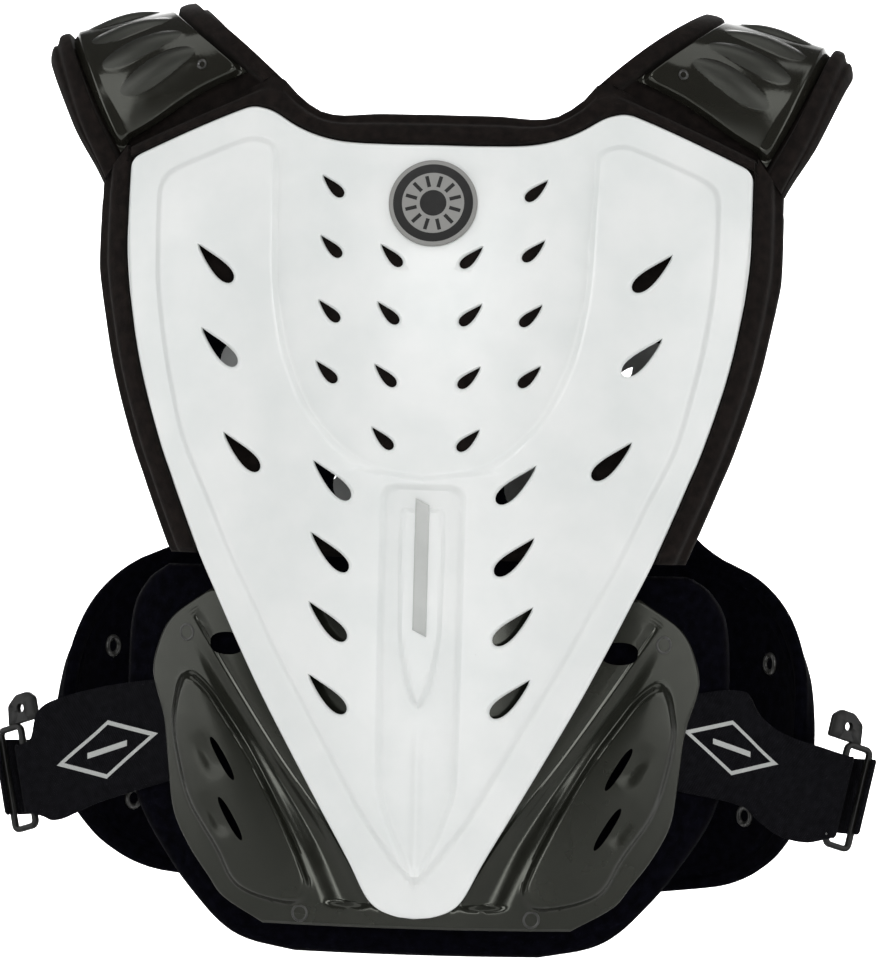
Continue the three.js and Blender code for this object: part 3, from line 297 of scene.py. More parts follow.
def by_density(places, density, count):
    """`count`+1 places between the first and last, spaced by a density."""
    total = np.concatenate([[0], np.cumsum((density[1:] + density[:-1]) / 2 * np.diff(places))])
    return np.interp(np.linspace(0, total[-1], count + 1), total, places)


def columns(stops, counts, ends):
    """Places across the right half, from stop to stop, packed towards both ends of each stretch."""
    parts = [low + (high - low) * packed(count, ends)[None, (1 if i else 0):]
             for i, (low, high, count) in enumerate(zip(stops[:-1], stops[1:], counts))]
    return np.concatenate(parts, 1)


def both_sides(right, turn=-1):
    """The right half's columns with the left half's before them, multiplied by `turn`."""
    return np.concatenate([right[:, :0:-1] * turn, right], 1)


def swollen(value, power):
    """A sine or cosine with its size raised to a power, which squares a circle's corners."""
    return np.sign(value) * np.abs(value) ** power


def full_turn(count):
    """`count` angles round a circle."""
    return np.linspace(0, 2 * np.pi, count + 1)[:-1]


# ---- Meshes


def to_object(name, points, faces):
    """An object from points in millimetres and faces, its doubles merged and its faces outward."""
    mesh = bpy.data.meshes.new(name)
    mesh.from_pydata((np.asarray(points) * MM).tolist(), [], faces)
    obj = bpy.data.objects.new(name, mesh)
    bpy.context.scene.collection.objects.link(obj)
    work = bmesh.new()
    work.from_mesh(mesh)
    bmesh.ops.remove_doubles(work, verts=work.verts, dist=2e-6)
    bmesh.ops.dissolve_degenerate(work, edges=work.edges, dist=1e-6)
    bmesh.ops.recalc_face_normals(work, faces=work.faces)
    if work.calc_volume(signed=True) < 0:
        bmesh.ops.reverse_faces(work, faces=work.faces)
    work.to_mesh(mesh)
    work.free()
    mesh.shade_smooth()
    return obj


def grid_faces(rows, columns, start=0, flip=False, wrap=False):
    """The four-sided faces of a rows x columns grid of points, whose last column may join the first."""
    i, j = np.meshgrid(np.arange(rows - 1), np.arange(columns - (0 if wrap else 1)), indexing="ij")
    k = (j + 1) % columns
    a, b, c, d = i * columns + j, (i + 1) * columns + j, (i + 1) * columns + k, i * columns + k
    quads = np.stack([a, d, c, b] if flip else [a, b, c, d], -1).reshape(-1, 4) + start
    return quads.tolist()


def slab(name, outer, inner):
    """A closed body between two grids of points with the same rows and columns."""
    rows, columns = outer.shape[:2]
    count = rows * columns
    faces = grid_faces(rows, columns) + grid_faces(rows, columns, count, flip=True)
    edge = np.concatenate([
        np.arange(columns), columns * np.arange(1, rows) + columns - 1,
        count - 2 - np.arange(columns - 1), columns * np.arange(rows - 2, 0, -1),
    ])
    after = np.roll(edge, -1)
    faces += np.stack([edge, after, after + count, edge + count], -1).tolist()
    return to_object(name, np.concatenate([outer.reshape(-1, 3), inner.reshape(-1, 3)]), faces)


def tube(name, rings, closed=False):
    """A body through rings of points; open ends are closed with a fan to their middle."""
    count, corners = rings.shape[:2]
    points = rings.reshape(-1, 3)
    if closed:
        points = np.concatenate([points, rings[0]])
        return to_object(name, points, grid_faces(count + 1, corners, wrap=True))
    middles = np.stack([rings[0].mean(0), rings[-1].mean(0)])
    faces = grid_faces(count, corners, wrap=True)
    first, last = count * corners, count * corners + 1
    for j in range(corners):
        k = (j + 1) % corners
        faces.append([first, k, j])
        faces.append([last, (count - 1) * corners + j, (count - 1) * corners + k])
    return to_object(name, np.concatenate([points, middles]), faces)


def carried(obj, grids, other):
    """For each vertex, the value that its grid of points gives there, or else the other value."""
    known = {}
    for points, values in grids:
        places = map(tuple, np.round(points.reshape(-1, 3), 2).tolist())
        known.update(zip(places, values.reshape(-1, *values.shape[2:]).tolist()))
    vertices = np.array([v.co for v in obj.data.vertices]) / MM
    return [known.get(tuple(k), other) for k in np.round(vertices, 2).tolist()]


def sharpen(obj, degrees):
    """Smooth shading apart from edges sharper than the angle."""
    obj.data.shade_smooth()
    obj.data.set_sharp_from_angle(angle=math.radians(degrees))


def punch(x, z, near, far):
    """A body that cuts the outline x, z through a wall, from one place along Y to another."""
    ring = np.stack([x, np.zeros(len(x)), z], -1)
    return tube("punch", np.stack([ring + (0, near, 0), ring + (0, far, 0)]))


def cut(obj, tools):
    """Takes the tools' bodies out of obj in one step, and deletes them."""
    work = bmesh.new()
    for tool in tools:
        work.from_mesh(tool.data)
        bpy.data.objects.remove(tool)
    mesh = bpy.data.meshes.new("tools")
    work.to_mesh(mesh)
    work.free()
    body = bpy.data.objects.new("tools", mesh)
    bpy.context.scene.collection.objects.link(body)
    change = obj.modifiers.new("cut", "BOOLEAN")
    change.operation, change.solver, change.object = "DIFFERENCE", "MANIFOLD", body
    result = bpy.data.meshes.new_from_object(obj.evaluated_get(bpy.context.evaluated_depsgraph_get()))
    obj.modifiers.clear()
    obj.data = result
    bpy.data.objects.remove(body)


def finish_piece(obj, material, slot, *nodes):
    """Gives a piece its material, and lets it stand for its nodes. The slot argument is not used."""
    obj.data.materials.clear()
    obj.data.materials.append(material)
    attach(obj, "root")
    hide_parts(*nodes)
    return obj


# ---- Materials


class Nodes:
    """A material's nodes, with short ways to add and join them."""

    def __init__(self, name, color, roughness, **sockets):
        self.material = bpy.data.materials.new(name)
        self.material.use_nodes = True
        self.tree = self.material.node_tree
        self.shader = self.tree.nodes["Principled BSDF"]
        self.shader.inputs["Base Color"].default_value = (*color, 1)
        self.shader.inputs["Roughness"].default_value = roughness
        for socket, value in sockets.items():
            self.shader.inputs[socket.replace("_", " ")].default_value = value
        self.place = self.add("ShaderNodeTexCoord").outputs["Object"]

    def add(self, kind, **values):
        node = self.tree.nodes.new(kind)
        for key, value in values.items():
            if key in node.inputs:
                node.inputs[key].default_value = value
            else:
                setattr(node, key, value)
        return node

    def join(self, source, target):
        self.tree.links.new(source, target)

    def noise(self, scale, detail):
        node = self.add("ShaderNodeTexNoise", Scale=scale, Detail=float(detail))
        self.join(self.place, node.inputs["Vector"])
        return node.outputs["Fac"]

    def tint(self, fac, low, high, start=0.35, end=0.65):
        """The base colour runs from low to high as fac runs from start to end."""
        band = self.add("ShaderNodeValToRGB")
        band.color_ramp.elements[0].position, band.color_ramp.elements[1].position = start, end
        band.color_ramp.elements[0].color, band.color_ramp.elements[1].color = (*low, 1), (*high, 1)
        self.join(fac, band.inputs["Fac"])
        self.join(band.outputs["Color"], self.shader.inputs["Base Color"])
        return band.outputs["Color"]

    def polish(self, fac, low, high):
        """The roughness runs from low to high."""
        span = self.add("ShaderNodeMapRange")
        span.inputs["To Min"].default_value, span.inputs["To Max"].default_value = low, high
        self.join(fac, span.inputs["Value"])
        self.join(span.outputs["Result"], self.shader.inputs["Roughness"])

    def math(self, operation, a, b=None):
        node = self.add("ShaderNodeMath", operation=operation)
        for i, value in enumerate((a, b)):
            if isinstance(value, (int, float)):
                node.inputs[i].default_value = value
            elif value is not None:
                self.join(value, node.inputs[i])
        return node.outputs["Value"]

    def bump(self, *heights):
        """Each height is a value and its depth in millimetres; they add up."""
        total = None
        for value, depth in heights:
            part = self.math("MULTIPLY", value, depth * MM)
            total = part if total is None else self.math("ADD", total, part)
        node = self.add("ShaderNodeBump")
        node.inputs["Strength"].default_value = 1
        node.inputs["Distance"].default_value = 1
        self.join(total, node.inputs["Height"])
        self.join(node.outputs["Normal"], self.shader.inputs["Normal"])


def white_plastic():
    """Moulded white plastic: a soft gloss, faintly mottled."""
    m = Nodes("white_plastic", (0.77, 0.79, 0.78), 0.32, Specular_IOR_Level=0.5)
    m.tint(m.noise(30, 4), (0.74, 0.765, 0.755), (0.8, 0.815, 0.805))
    m.polish(m.noise(160, 5), 0.24, 0.4)
    m.bump((m.noise(900, 2), 0.012), (m.noise(45, 2), 0.05))
    return m.material


def black_plastic():
    """Glossy olive-black plastic with fine scuffs."""
    m = Nodes("black_plastic", (0.01, 0.01, 0.008), 0.16, Specular_IOR_Level=0.42)
    m.tint(m.noise(25, 4), (0.0085, 0.009, 0.0068), (0.0125, 0.013, 0.01))
    m.shader.inputs["Specular Tint"].default_value = (0.97, 1, 0.9, 1)
    m.polish(m.noise(120, 6), 0.1, 0.24)
    m.bump((m.noise(700, 2), 0.01), (m.noise(40, 2), 0.06))
    return m.material


def foam_cloth(name, low, high, gloss=0.2, sheen=0.04):
    """Foam under a fine brushed knit: a dull dark nap with soft lumps."""
    m = Nodes(name, low, 0.92, Specular_IOR_Level=gloss, Sheen_Weight=sheen, Sheen_Roughness=0.5)
    m.shader.inputs["Sheen Tint"].default_value = (0.75, 0.72, 0.68, 1)
    m.tint(m.noise(220, 6), low, high)
    m.polish(m.noise(90, 3), 0.82, 0.98)
    m.bump((m.noise(1400, 3), 0.16), (m.noise(420, 3), 0.12), (m.noise(40, 2), 0.35))
    return m.material


def buckle_plastic():
    """Moulded black buckles and hooks with a dull gloss."""
    m = Nodes("buckle_plastic", (0.004, 0.004, 0.004), 0.4, Specular_IOR_Level=0.3)
    m.tint(m.noise(200, 4), (0.003, 0.003, 0.003), (0.007, 0.007, 0.006))
    m.polish(m.noise(300, 4), 0.3, 0.5)
    m.bump((m.noise(900, 3), 0.02))
    return m.material


def rivet_metal():
    """Blackened rivet heads."""
    m = Nodes("rivet_black", (0.02, 0.02, 0.018), 0.3, Specular_IOR_Level=0.6)
    m.tint(m.noise(200, 4), (0.014, 0.014, 0.013), (0.03, 0.03, 0.027))
    m.polish(m.noise(300, 4), 0.2, 0.42)
    m.bump((m.noise(900, 3), 0.02))
    return m.material


WHITE = white_plastic()
BLACK = black_plastic()
FOAM = foam_cloth("body_foam", (0.004, 0.0028, 0.0024), (0.01, 0.007, 0.006), 0.12)
WAIST_FOAM = foam_cloth("waist_foam", (0.0006, 0.0006, 0.0014), (0.002, 0.002, 0.0042), 0.02, 0.006)
RIVET = rivet_metal()
BUCKLE = buckle_plastic()


# ---- Chest shell


def down_of(z):
    """A level as a share of the chest's height, down from its top."""
    return (-CHEST_DROP - z) / CHEST_HEIGHT


def level_of(down):
    """The level at a share of the chest's height."""
    return -CHEST_DROP - down * CHEST_HEIGHT


def front_y(x, z):
    """The chest's surface: a ridge line carried down the middle, falling back as x squared."""
    return -CHEST_DEPTH * curve(RIDGE, down_of(z)) + x * x / (2 * CHEST_RADIUS)


def raw_top(x):
    """The shell's upper edge: a dip at the neck up to the peaks, and falling corners outside them."""
    across = np.abs(x) / CHEST_HALF
    neck = -CHEST_DROP - NECK_DIP * curve(NECK, across)
    corner = -CHEST_DROP - CORNER_DROP * (np.maximum(across - PEAK, 0) / (1 - PEAK)) ** 1.1
    return np.where(across < PEAK, neck, corner)


def chest_top(x):
    """The shell's upper edge, its two peaks rounded by a running mean over 6 mm."""
    return np.mean([raw_top(x + d) for d in (-3, -1.5, 0, 1.5, 3)], axis=0)


def relief(x, z):
    """Height of the shell's relief over its rim: raised side lobes between the recess and the panel
    edge, the trough below the recess with its rib, and a faint ridge to the tip. Each form is a
    ramp on the distance to its outline; distances meet in a rounded minimum at corners."""
    down = down_of(z)
    side = np.abs(x)
    panel = curve(PANEL, down) * CHEST_HALF
    recess = curve(RECESS, down)
    to_panel = (panel - side) / across_slope(PANEL, down, CHEST_HALF, CHEST_HEIGHT)
    to_top = chest_top(x) - z - RIM
    inside = soft_min(to_panel, to_top, 9)
    to_recess = (side - recess) / across_slope(RECESS, down, 1, CHEST_HEIGHT)
    inside = soft_min(inside, to_recess, 5)
    lobes = ramp(inside, STEP_RUN)
    share = np.clip((side - np.maximum(recess, 0)) / np.maximum(panel - np.maximum(recess, 0), 1), 0, 1)
    lobes = lobes * (1 + 0.14 * np.sin(np.pi * share))
    trough = (curve(TROUGH, down) - side) / across_slope(TROUGH, down, 1, CHEST_HEIGHT)
    trough = soft_min(trough, level_of(0.4655) - z, 7)
    height = lobes * (1 - 0.8 * ramp(trough, STEP_RUN) * ramp(0.96 - down, 0.05))
    rib = (curve(RIB, down) - side) / across_slope(RIB, down, 1, CHEST_HEIGHT)
    height = height + 0.72 * ramp(rib, 2.4)
    crease = bell(side, 0, 2.2) * ramp(down - 0.745, 0.05) * ramp(0.985 - down, 0.05) * 0.22
    return RAISE * (height + crease)


def chest_half(down):
    """Half the shell's width; its tip is rounded off by a circle of TIP_ROUND."""
    left = np.maximum((1 - down) * CHEST_HEIGHT, 0)
    near = np.minimum(left, TIP_ROUND)
    tip = np.sqrt(2 * TIP_ROUND * near - near * near) + 2 * np.maximum(left - 20, 0)
    return np.maximum(soft_min(curve(OUTLINE, down) * CHEST_HALF, tip, 6), 0.5)


def shell_grid():
    """Places of the shell's grid: rows run down from the curved top edge and level out below it,
    and columns gather along the edges of the relief. Returns x and z."""
    places = np.linspace(0, 1, 600)
    density = np.ones_like(places)
    for middle, width, strength in SHELL_ROWS:
        density += strength * bell(places, middle, width)
    down = by_density(places, density, 236)[:, None]
    half = chest_half(down)
    panel = np.maximum(curve(PANEL, down) * CHEST_HALF, 0.5 * half)
    inner = np.clip(np.maximum(curve(RECESS, down), curve(TROUGH, down)), 0.2 * panel, 0.62 * panel)
    x = columns([np.zeros_like(half), 0.53 * inner, inner, panel, half], (12, 14, 38, 15), 0.62)
    x = both_sides(x * (1 - (round_off(down * CHEST_HEIGHT, 5.0) / half)))
    band = 1 - ramp(down * CHEST_HEIGHT, TOP_BLEND)
    z = level_of(down) + (chest_top(x) + CHEST_DROP) * band
    return x, z


def edge_distance(x, z):
    """Distance from the shell's border."""
    down = down_of(z)
    slope = across_slope(OUTLINE, np.minimum(down, 0.99), CHEST_HALF, CHEST_HEIGHT)
    aside = (chest_half(down) - np.abs(x)) / slope
    ends = np.minimum(chest_top(x) - z, (1 - down) * CHEST_HEIGHT)
    return np.minimum(np.maximum(aside, 0), np.maximum(ends, 0))


def drop_outline(large, sign):
    """A teardrop leaning in and down at 45 degrees from its tip at 0,0. Its half width goes as
    t**p * sqrt(1 - t**3), with p smaller on its bulging outer side."""
    long, wide = (VENT_LONG, VENT_WIDE) if large else (VENT_SHORT, VENT_SLIM)
    t = np.sin(np.linspace(0, np.pi / 2, 15)) ** 1.2
    width = lambda p: (wide / 2) * t**p * np.sqrt(np.maximum(1 - t**3, 0)) / 0.6
    along = np.concatenate([t, t[-2:0:-1]]) * long
    aside = np.concatenate([width(1.1), -width(0.75)[-2:0:-1]])
    lean = math.sqrt(0.5)
    return np.stack([-sign * (along + aside) * lean, -(along - aside) * lean], -1)


def widened(outline, by):
    """The outline moved outward along its own normals."""
    tangent = np.roll(outline, -1, 0) - np.roll(outline, 1, 0)
    tangent /= np.linalg.norm(tangent, axis=1, keepdims=True)
    normal = np.stack([tangent[:, 1], -tangent[:, 0]], -1)
    area = np.sum(outline[:, 0] * np.roll(outline[:, 1], -1) - np.roll(outline[:, 0], -1) * outline[:, 1])
    return outline + normal * (by * np.sign(area))[..., None]


def vent_tool(tip_x, tip_z, large, surface, outside):
    """The body that cuts one vent: rings of its outline from outside the surface to behind the
    wall, wide at the surface and rounded into it. outside is the sign of outward along Y."""
    outline = drop_outline(large, np.sign(tip_x))
    fall = np.abs(outline[:, 1]) / np.abs(outline[:, 1]).max()
    rings = []
    for depth, flare in VENT_RINGS:
        ring = widened(outline, flare * (0.55 + 0.6 * fall))
        x, z = tip_x + ring[:, 0], tip_z + ring[:, 1]
        rings.append(np.stack([x, surface(x, z) - outside * depth, z], -1))
    return tube("vent_tool", np.stack(rings))


def shell_face(x, z):
    """The shell's front."""
    return front_y(x, z) - relief(x, z)


def chest_shell():
    """The shell: its front over the grid, its border rounded, and its back a wall behind."""
    x, z = shell_grid()
    y = shell_face(x, z)
    outer = np.stack([x, y + round_off(edge_distance(x, z), EDGE_ROUND), z], -1)
    inner = np.stack([x, y + SHELL_WALL, z], -1)
    obj = slab("chest_shell_moulded", outer, inner)
    cut(obj, [vent_tool(sign * across * CHEST_HALF, level_of(down), large, shell_face, -1)
              for across, down, large in VENTS for _, sign in SIDES])
    sharpen(obj, 32)
    return finish_piece(obj, WHITE, "white_plastic", "chest_shell")


# ---- Foam behind the chest shell


def collar_top(edge):
    """The foam's upper edge above the shell's."""
    return chest_top(edge) + NECK_RISE * curve(COLLAR, np.minimum(edge / CHEST_HALF, 1))


def cut_windows(obj, near, far):
    """Cuts the oval windows through a foam wall that lies between two places along Y."""
    turn = full_turn(32)
    cut(obj, [punch(sign * across * CHEST_HALF + WINDOW_WIDE * np.cos(turn),
                    level_of(drop) + WINDOW_TALL * np.sin(turn), near, far)
              for _, sign in SIDES for across, drop in WINDOWS])


def chest_liner():
    """A foam sheet behind the shell. Outside the shell's edge it stands forward as a rolled bead
    with a thinner flange beyond; the bead's profile is read at q, the share of the way out. Under
    the caps the flange gives way to a sunken bed between the two rails."""
    inward, outward = packed(34, 0.4), packed(30, 0.25)
    past = np.concatenate([np.zeros_like(inward), outward])
    edge_share = np.concatenate([inward, np.ones_like(outward)])
    share = outward[::-1]
    down = np.linspace(0, 0.558, 90)[1:]
    half = CHEST_HALF * 0.998
    x_top = np.where(past > 0, half + EDGE_GAP + past * (BAND - EDGE_GAP), edge_share * half)
    x_top[len(inward)] = half + EDGE_GAP
    edge = np.minimum(x_top, CHEST_HALF)
    low = chest_top(edge) + EDGE_GAP
    z_collar = low + share[:, None] * (collar_top(edge) - low) - past * NOTCH_DROP
    x_collar = np.broadcast_to(x_top, z_collar.shape)
    q_past = np.broadcast_to(past, z_collar.shape)
    level_half = chest_half(down)[:, None]
    x_level = np.where(x_top > half, level_half + (x_top - half), edge_share * level_half)
    sink = low - past * NOTCH_DROP + CHEST_DROP
    z_level = level_of(down)[:, None] + sink * (1 - ramp(down * CHEST_HEIGHT, TOP_BLEND))[:, None]
    x = np.concatenate([x_collar, x_level])
    z = np.concatenate([z_collar, z_level])
    q_share = np.concatenate([np.broadcast_to(share[:, None], z_collar.shape), np.zeros_like(x_level)])
    q_past = np.concatenate([q_past, np.broadcast_to(past, x_level.shape)])
    rail = ramp(x - 68, 5) * ramp(88 - x, 4) + ramp(x - 150, 4) * ramp(161 - x, 3)
    bed = ramp(x - 84, 4) * ramp(153 - x, 4)
    top = line(BEAD, q_share)
    top = top + (np.minimum(top, -0.4) - top) * np.clip(rail, 0, 1) * ramp(q_share - 0.1, 0.1)
    top = top + (line(BEAD_SUNK, q_share) - top) * bed
    side = line(BEAD, q_past)
    corner = np.maximum(side, np.where(x > 150, side, top))
    offset = np.where(q_past <= 0, top, np.where(q_share <= 0, side, corner))
    rounded = round_off(np.maximum(z - z.min(), 0), 5)
    outer = np.stack([x, front_y(x, z) + offset + rounded, z], -1)
    back = LINER_THICK - round_off((1 - q_past) * BAND, 1.5) - round_off((1 - q_share) * NECK_RISE, 1.5)
    inner = np.stack([x, front_y(x, z) + np.maximum(back, offset + rounded + 1), z], -1)
    obj = slab("chest_foam", both_sides(outer, (-1, 1, 1)), both_sides(inner, (-1, 1, 1)))
    cut_windows(obj, -150, -40)
    sharpen(obj, 50)
    return finish_piece(obj, FOAM, "body_foam", "chest_liner")


# ---- Lower plate and its foam


def belly_y(x, z):
    """The lower plate's surface: the chest's ridge line set back, falling away as x squared."""
    return front_y(0, z) + SHELL_WALL + 0.8 + x * x / (2 * BELLY_RADIUS)


def belly_down(z):
    """A level as a share of the plate's height, down from its top."""
    return (-BELLY_TOP - z) / BELLY_HEIGHT


def belly_relief(x, z):
    """Height over the lower plate's surface: the groove beside the middle, the hollow between it
    and the side panel, the panel itself over a flat rim band, and a scoop outside each slit."""
    down = belly_down(z)
    side = np.abs(x)
    groove, inner, outer = (curve(rows, down) * BELLY_HALF
                            for rows in (BELLY_GROOVE, BELLY_INNER, BELLY_OUTER))
    to_inner = (side - inner) / across_slope(BELLY_INNER, down, BELLY_HALF, BELLY_HEIGHT)
    to_outer = (outer - side) / across_slope(BELLY_OUTER, down, BELLY_HALF, BELLY_HEIGHT)
    ends = soft_min((down - PANEL_START) * BELLY_HEIGHT, (PANEL_END - down) * BELLY_HEIGHT, 5)
    within = soft_min(soft_min(to_inner, to_outer, 6), ends, 14)
    share = np.clip((side - inner) / np.maximum(outer - inner, 1), 0, 1)
    height = PANEL_RAISE * ramp(within + 0.4, 3.6) * (0.9 + 0.25 * np.sin(np.pi * share))
    between = np.clip((side - groove) / np.maximum(inner - groove, 1), 0, 1)
    deep = 1.2 + 2.4 * ramp(down - 0.35, 0.4)
    height -= deep * np.sin(np.pi * between) ** 2 * ramp(down - 0.1, 0.25) * ramp(PANEL_END - down, 0.02)
    height -= 1.1 * bell(side, groove, 1.2) * ramp(down - 0.05, 0.05) * ramp(0.95 - down, 0.03)
    for across, drop in SLITS:
        cx, cz = across * BELLY_HALF, -BELLY_TOP - drop * BELLY_HEIGHT
        u = (side - cx) * SLIT_COS - (z - cz) * SLIT_SIN
        v = (side - cx) * SLIT_SIN + (z - cz) * SLIT_COS
        height -= 0.9 * bell(u, 4, 4) * ramp(v + 9, 9) * ramp(17 - v, 12)
    return height


def belly_shell():
    """The lower plate: its grid gathers along the edges of its relief, and its border is rounded."""
    places = np.linspace(0, 1, 300)
    down = by_density(places, 1 + 1.5 * bell(places, 0.9, 0.03), 130)[:, None]
    half = curve(BELLY_OUTLINE, down) * BELLY_HALF
    between = [np.minimum(curve(rows, down) * BELLY_HALF, share * half)
               for rows, share in ((BELLY_GROOVE, 0.9), (BELLY_INNER, 0.94), (BELLY_OUTER, 0.975))]
    x = both_sides(columns([np.zeros_like(down), *between, half], (22, 14, 40, 12), 0.5))
    z = np.broadcast_to(-BELLY_TOP - down * BELLY_HEIGHT, x.shape)
    y = belly_y(x, z) - belly_relief(x, z)
    to_side = (half - np.abs(x)) / across_slope(BELLY_OUTLINE, down, BELLY_HALF, BELLY_HEIGHT)
    border = np.minimum(to_side, np.minimum(z + BELLY_TOP + BELLY_HEIGHT, -BELLY_TOP - z))
    outer = np.stack([x, y + round_off(np.maximum(border, 0), EDGE_ROUND), z], -1)
    inner = np.stack([x, y + BELLY_WALL, z], -1)
    obj = slab("belly_shell_moulded", outer, inner)
    tools = []
    for _, sign in SIDES:
        for across, drop in SLITS:
            turn = full_turn(28)
            along = (SLIT_LONG / 2) * swollen(np.sin(turn), 0.8)
            wide = (SLIT_WIDE / 2) * np.cos(turn)
            px = across * BELLY_HALF + along * SLIT_SIN + wide * SLIT_COS - 1.8
            pz = -BELLY_TOP - drop * BELLY_HEIGHT + along * SLIT_COS - wide * SLIT_SIN
            tools.append(punch(sign * px, pz, -150, -30))
        turn = full_turn(32)
        tools.append(punch(sign * SLOT_PLACE + SLOT_WIDE * np.cos(turn),
                           SLOT_LEVEL + SLOT_TALL * swollen(np.sin(turn), 0.7), -150, -60))
    cut(obj, tools)
    sharpen(obj, 34)
    return finish_piece(obj, BLACK, "black_plastic", "belly_shell")


def belly_liner():
    """The waist foam behind the lower plate, with a shallow pressed line round its border. Its edge
    is a half round: near the border both faces close in as a circle."""
    down = packed(90, 0.3)[:, None]
    half = curve(BELLY_FOAM, down) * BELLY_FOAM_HALF
    x = both_sides(packed(60, 0.3)[None]) * half
    z = np.broadcast_to(-BELLY_FOAM_TOP - down * BELLY_FOAM_HEIGHT, x.shape)
    to_side = (half - np.abs(x)) / across_slope(BELLY_FOAM, down, BELLY_FOAM_HALF, BELLY_FOAM_HEIGHT)
    border = np.minimum(to_side, np.minimum(z + BELLY_FOAM_TOP + BELLY_FOAM_HEIGHT, -BELLY_FOAM_TOP - z))
    border = np.maximum(border, 0)
    surface = belly_y(x, z) + BELLY_WALL + POCKET_GAP + 0.5 * bell(border, 7, 1.1)
    soft = round_off(border, BELLY_FOAM_THICK / 2)
    obj = slab("belly_foam", np.stack([x, surface + soft, z], -1),
               np.stack([x, surface + (BELLY_FOAM_THICK - soft), z], -1))
    return finish_piece(obj, WAIST_FOAM, "waist_foam", "belly_liner")


# ---- Back


def back_point(angle, z, deep, outward):
    """The back: an ellipse in plan, moved outward by a layer's thickness."""
    turn = np.radians(angle)
    return np.stack(np.broadcast_arrays(
        np.sin(turn) * (BACK_REACH + outward), np.cos(turn) * (BACK_DEPTH * deep + outward), z), -1)


def angle_at(x):
    """The angle round the back at a place across it."""
    return np.degrees(np.arcsin(np.clip(x / BACK_REACH, -1, 1)))


def back_top_z(x):
    """The back foam's upper edge."""
    return -BACK_TOP - line(BACK_TOP_ROWS, np.abs(x) / BACK_TOP_HALF)


def back_liner():
    """The back pad and its waist wings: a foam wall on the ellipse. Its edge is a half round, and
    a pressed line follows the border of each wing."""
    share = both_sides(packed(64, 0.35)[None])
    down = BACK_START + (1 - BACK_START) * packed(130, 0.35)[:, None]
    wrap = curve(BACK_WRAP, down)
    x_top = share * BACK_TOP_HALF
    top_angle, top_z = angle_at(x_top), back_top_z(x_top)
    first = -BACK_TOP - BACK_START * BACK_HEIGHT
    rows_above = np.linspace(0, 1, 16)[:-1, None]
    angle_above = top_angle + (share * wrap[:1] - top_angle) * rows_above
    z_above = top_z + (first - top_z) * rows_above
    angle = np.concatenate([angle_above, share * wrap])
    size = (len(down), share.shape[1])
    z = np.concatenate([z_above, np.broadcast_to(-BACK_TOP - down * BACK_HEIGHT, size)])
    deep = np.concatenate([np.full_like(angle_above, BACK_ROOT_DEEP),
                           np.broadcast_to(curve(BACK_DEEP, down), size)])
    reach = np.concatenate([top_angle[:, -1:] * (1 - rows_above) + wrap[:1] * rows_above, wrap])
    slope = np.gradient(reach[:, 0]) * np.pi / 180 * BACK_REACH / np.gradient(z[:, -1])
    lean = np.sqrt(1 + slope ** 2)[:, None]
    to_side = (reach - np.abs(angle)) * np.pi / 180 * BACK_REACH / np.minimum(lean, 4)
    border = np.minimum(to_side, z - z[-1:].min())
    border = np.maximum(np.minimum(border, np.abs(z - z[:1])), 0)
    thick = BACK_THICK - 4.5 * (1 - ramp(border, 16))
    soft = round_off(border, 2.6)
    pressed = 1.5 * bell(border, 9, 1.3) + 0.9 * bell(border, 15, 1.2)
    pressed = pressed * ramp(np.abs(angle) - 35, 15)
    outer = back_point(angle, z, deep, thick - soft)
    inner = back_point(angle, z, deep, soft + pressed)
    obj = slab("back_foam", outer, inner)
    cut_windows(obj, 20, 150)
    sharpen(obj, 50)
    return finish_piece(obj, WAIST_FOAM, "waist_foam", "back_liner")


def shield_point(x, z, outward):
    """A point of the back's shield, from its place across and its level."""
    return back_point(angle_at(x), z, curve(BACK_DEEP, (-z - BACK_TOP) / BACK_HEIGHT), outward)


def back_shell():
    """The back's shield: half widths down its height, a raised panel inside a flat rim, and down its
    middle a trough with a rib."""
    down = by_density(np.linspace(0, 0.9985, 400), 1 + bell(np.linspace(0, 1, 400), 0, 0.03), 150)[:, None]
    half = np.maximum(curve(BACK_SHELL_OUTLINE, down) * BACK_SHELL_HALF, 0.5)
    x = both_sides(packed(60, 0.4)[None]) * half
    z = np.broadcast_to(-BACK_SHELL_TOP - down * BACK_SHELL_HEIGHT, x.shape)
    lean = across_slope(BACK_SHELL_OUTLINE, down, BACK_SHELL_HALF, BACK_SHELL_HEIGHT)
    border = np.maximum(np.minimum((half - np.abs(x)) / lean, -BACK_SHELL_TOP - z), 0)
    raised = RAISE * ramp(border - 12, STEP_RUN)
    trough = soft_min(16 - np.abs(x), soft_min(z + 340, -110 - z, 10), 8)
    rib = ramp(soft_min(8 - np.abs(x), z + 320, 8), 3) * ramp(-125 - z, 6)
    raised = raised * (1 - 0.8 * ramp(trough, STEP_RUN)) + 0.7 * RAISE * rib
    base = BACK_THICK + BACK_GAP
    outer = shield_point(x, z, base + SHELL_WALL + raised - round_off(border, EDGE_ROUND))
    obj = slab("back_shell_moulded", outer, shield_point(x, z, base + raised))
    face = lambda px, pz: shield_point(px, pz, base + SHELL_WALL + RAISE)[..., 1]
    cut(obj, [vent_tool(sign * across * BACK_SHELL_HALF, -BACK_SHELL_TOP - drop * BACK_SHELL_HEIGHT, 1,
                        face, 1)
              for across, drop in BACK_VENTS for _, sign in SIDES])
    sharpen(obj, 32)
    return finish_piece(obj, WHITE, "white_plastic", "back_shell")


# ---- Shoulder pads and caps


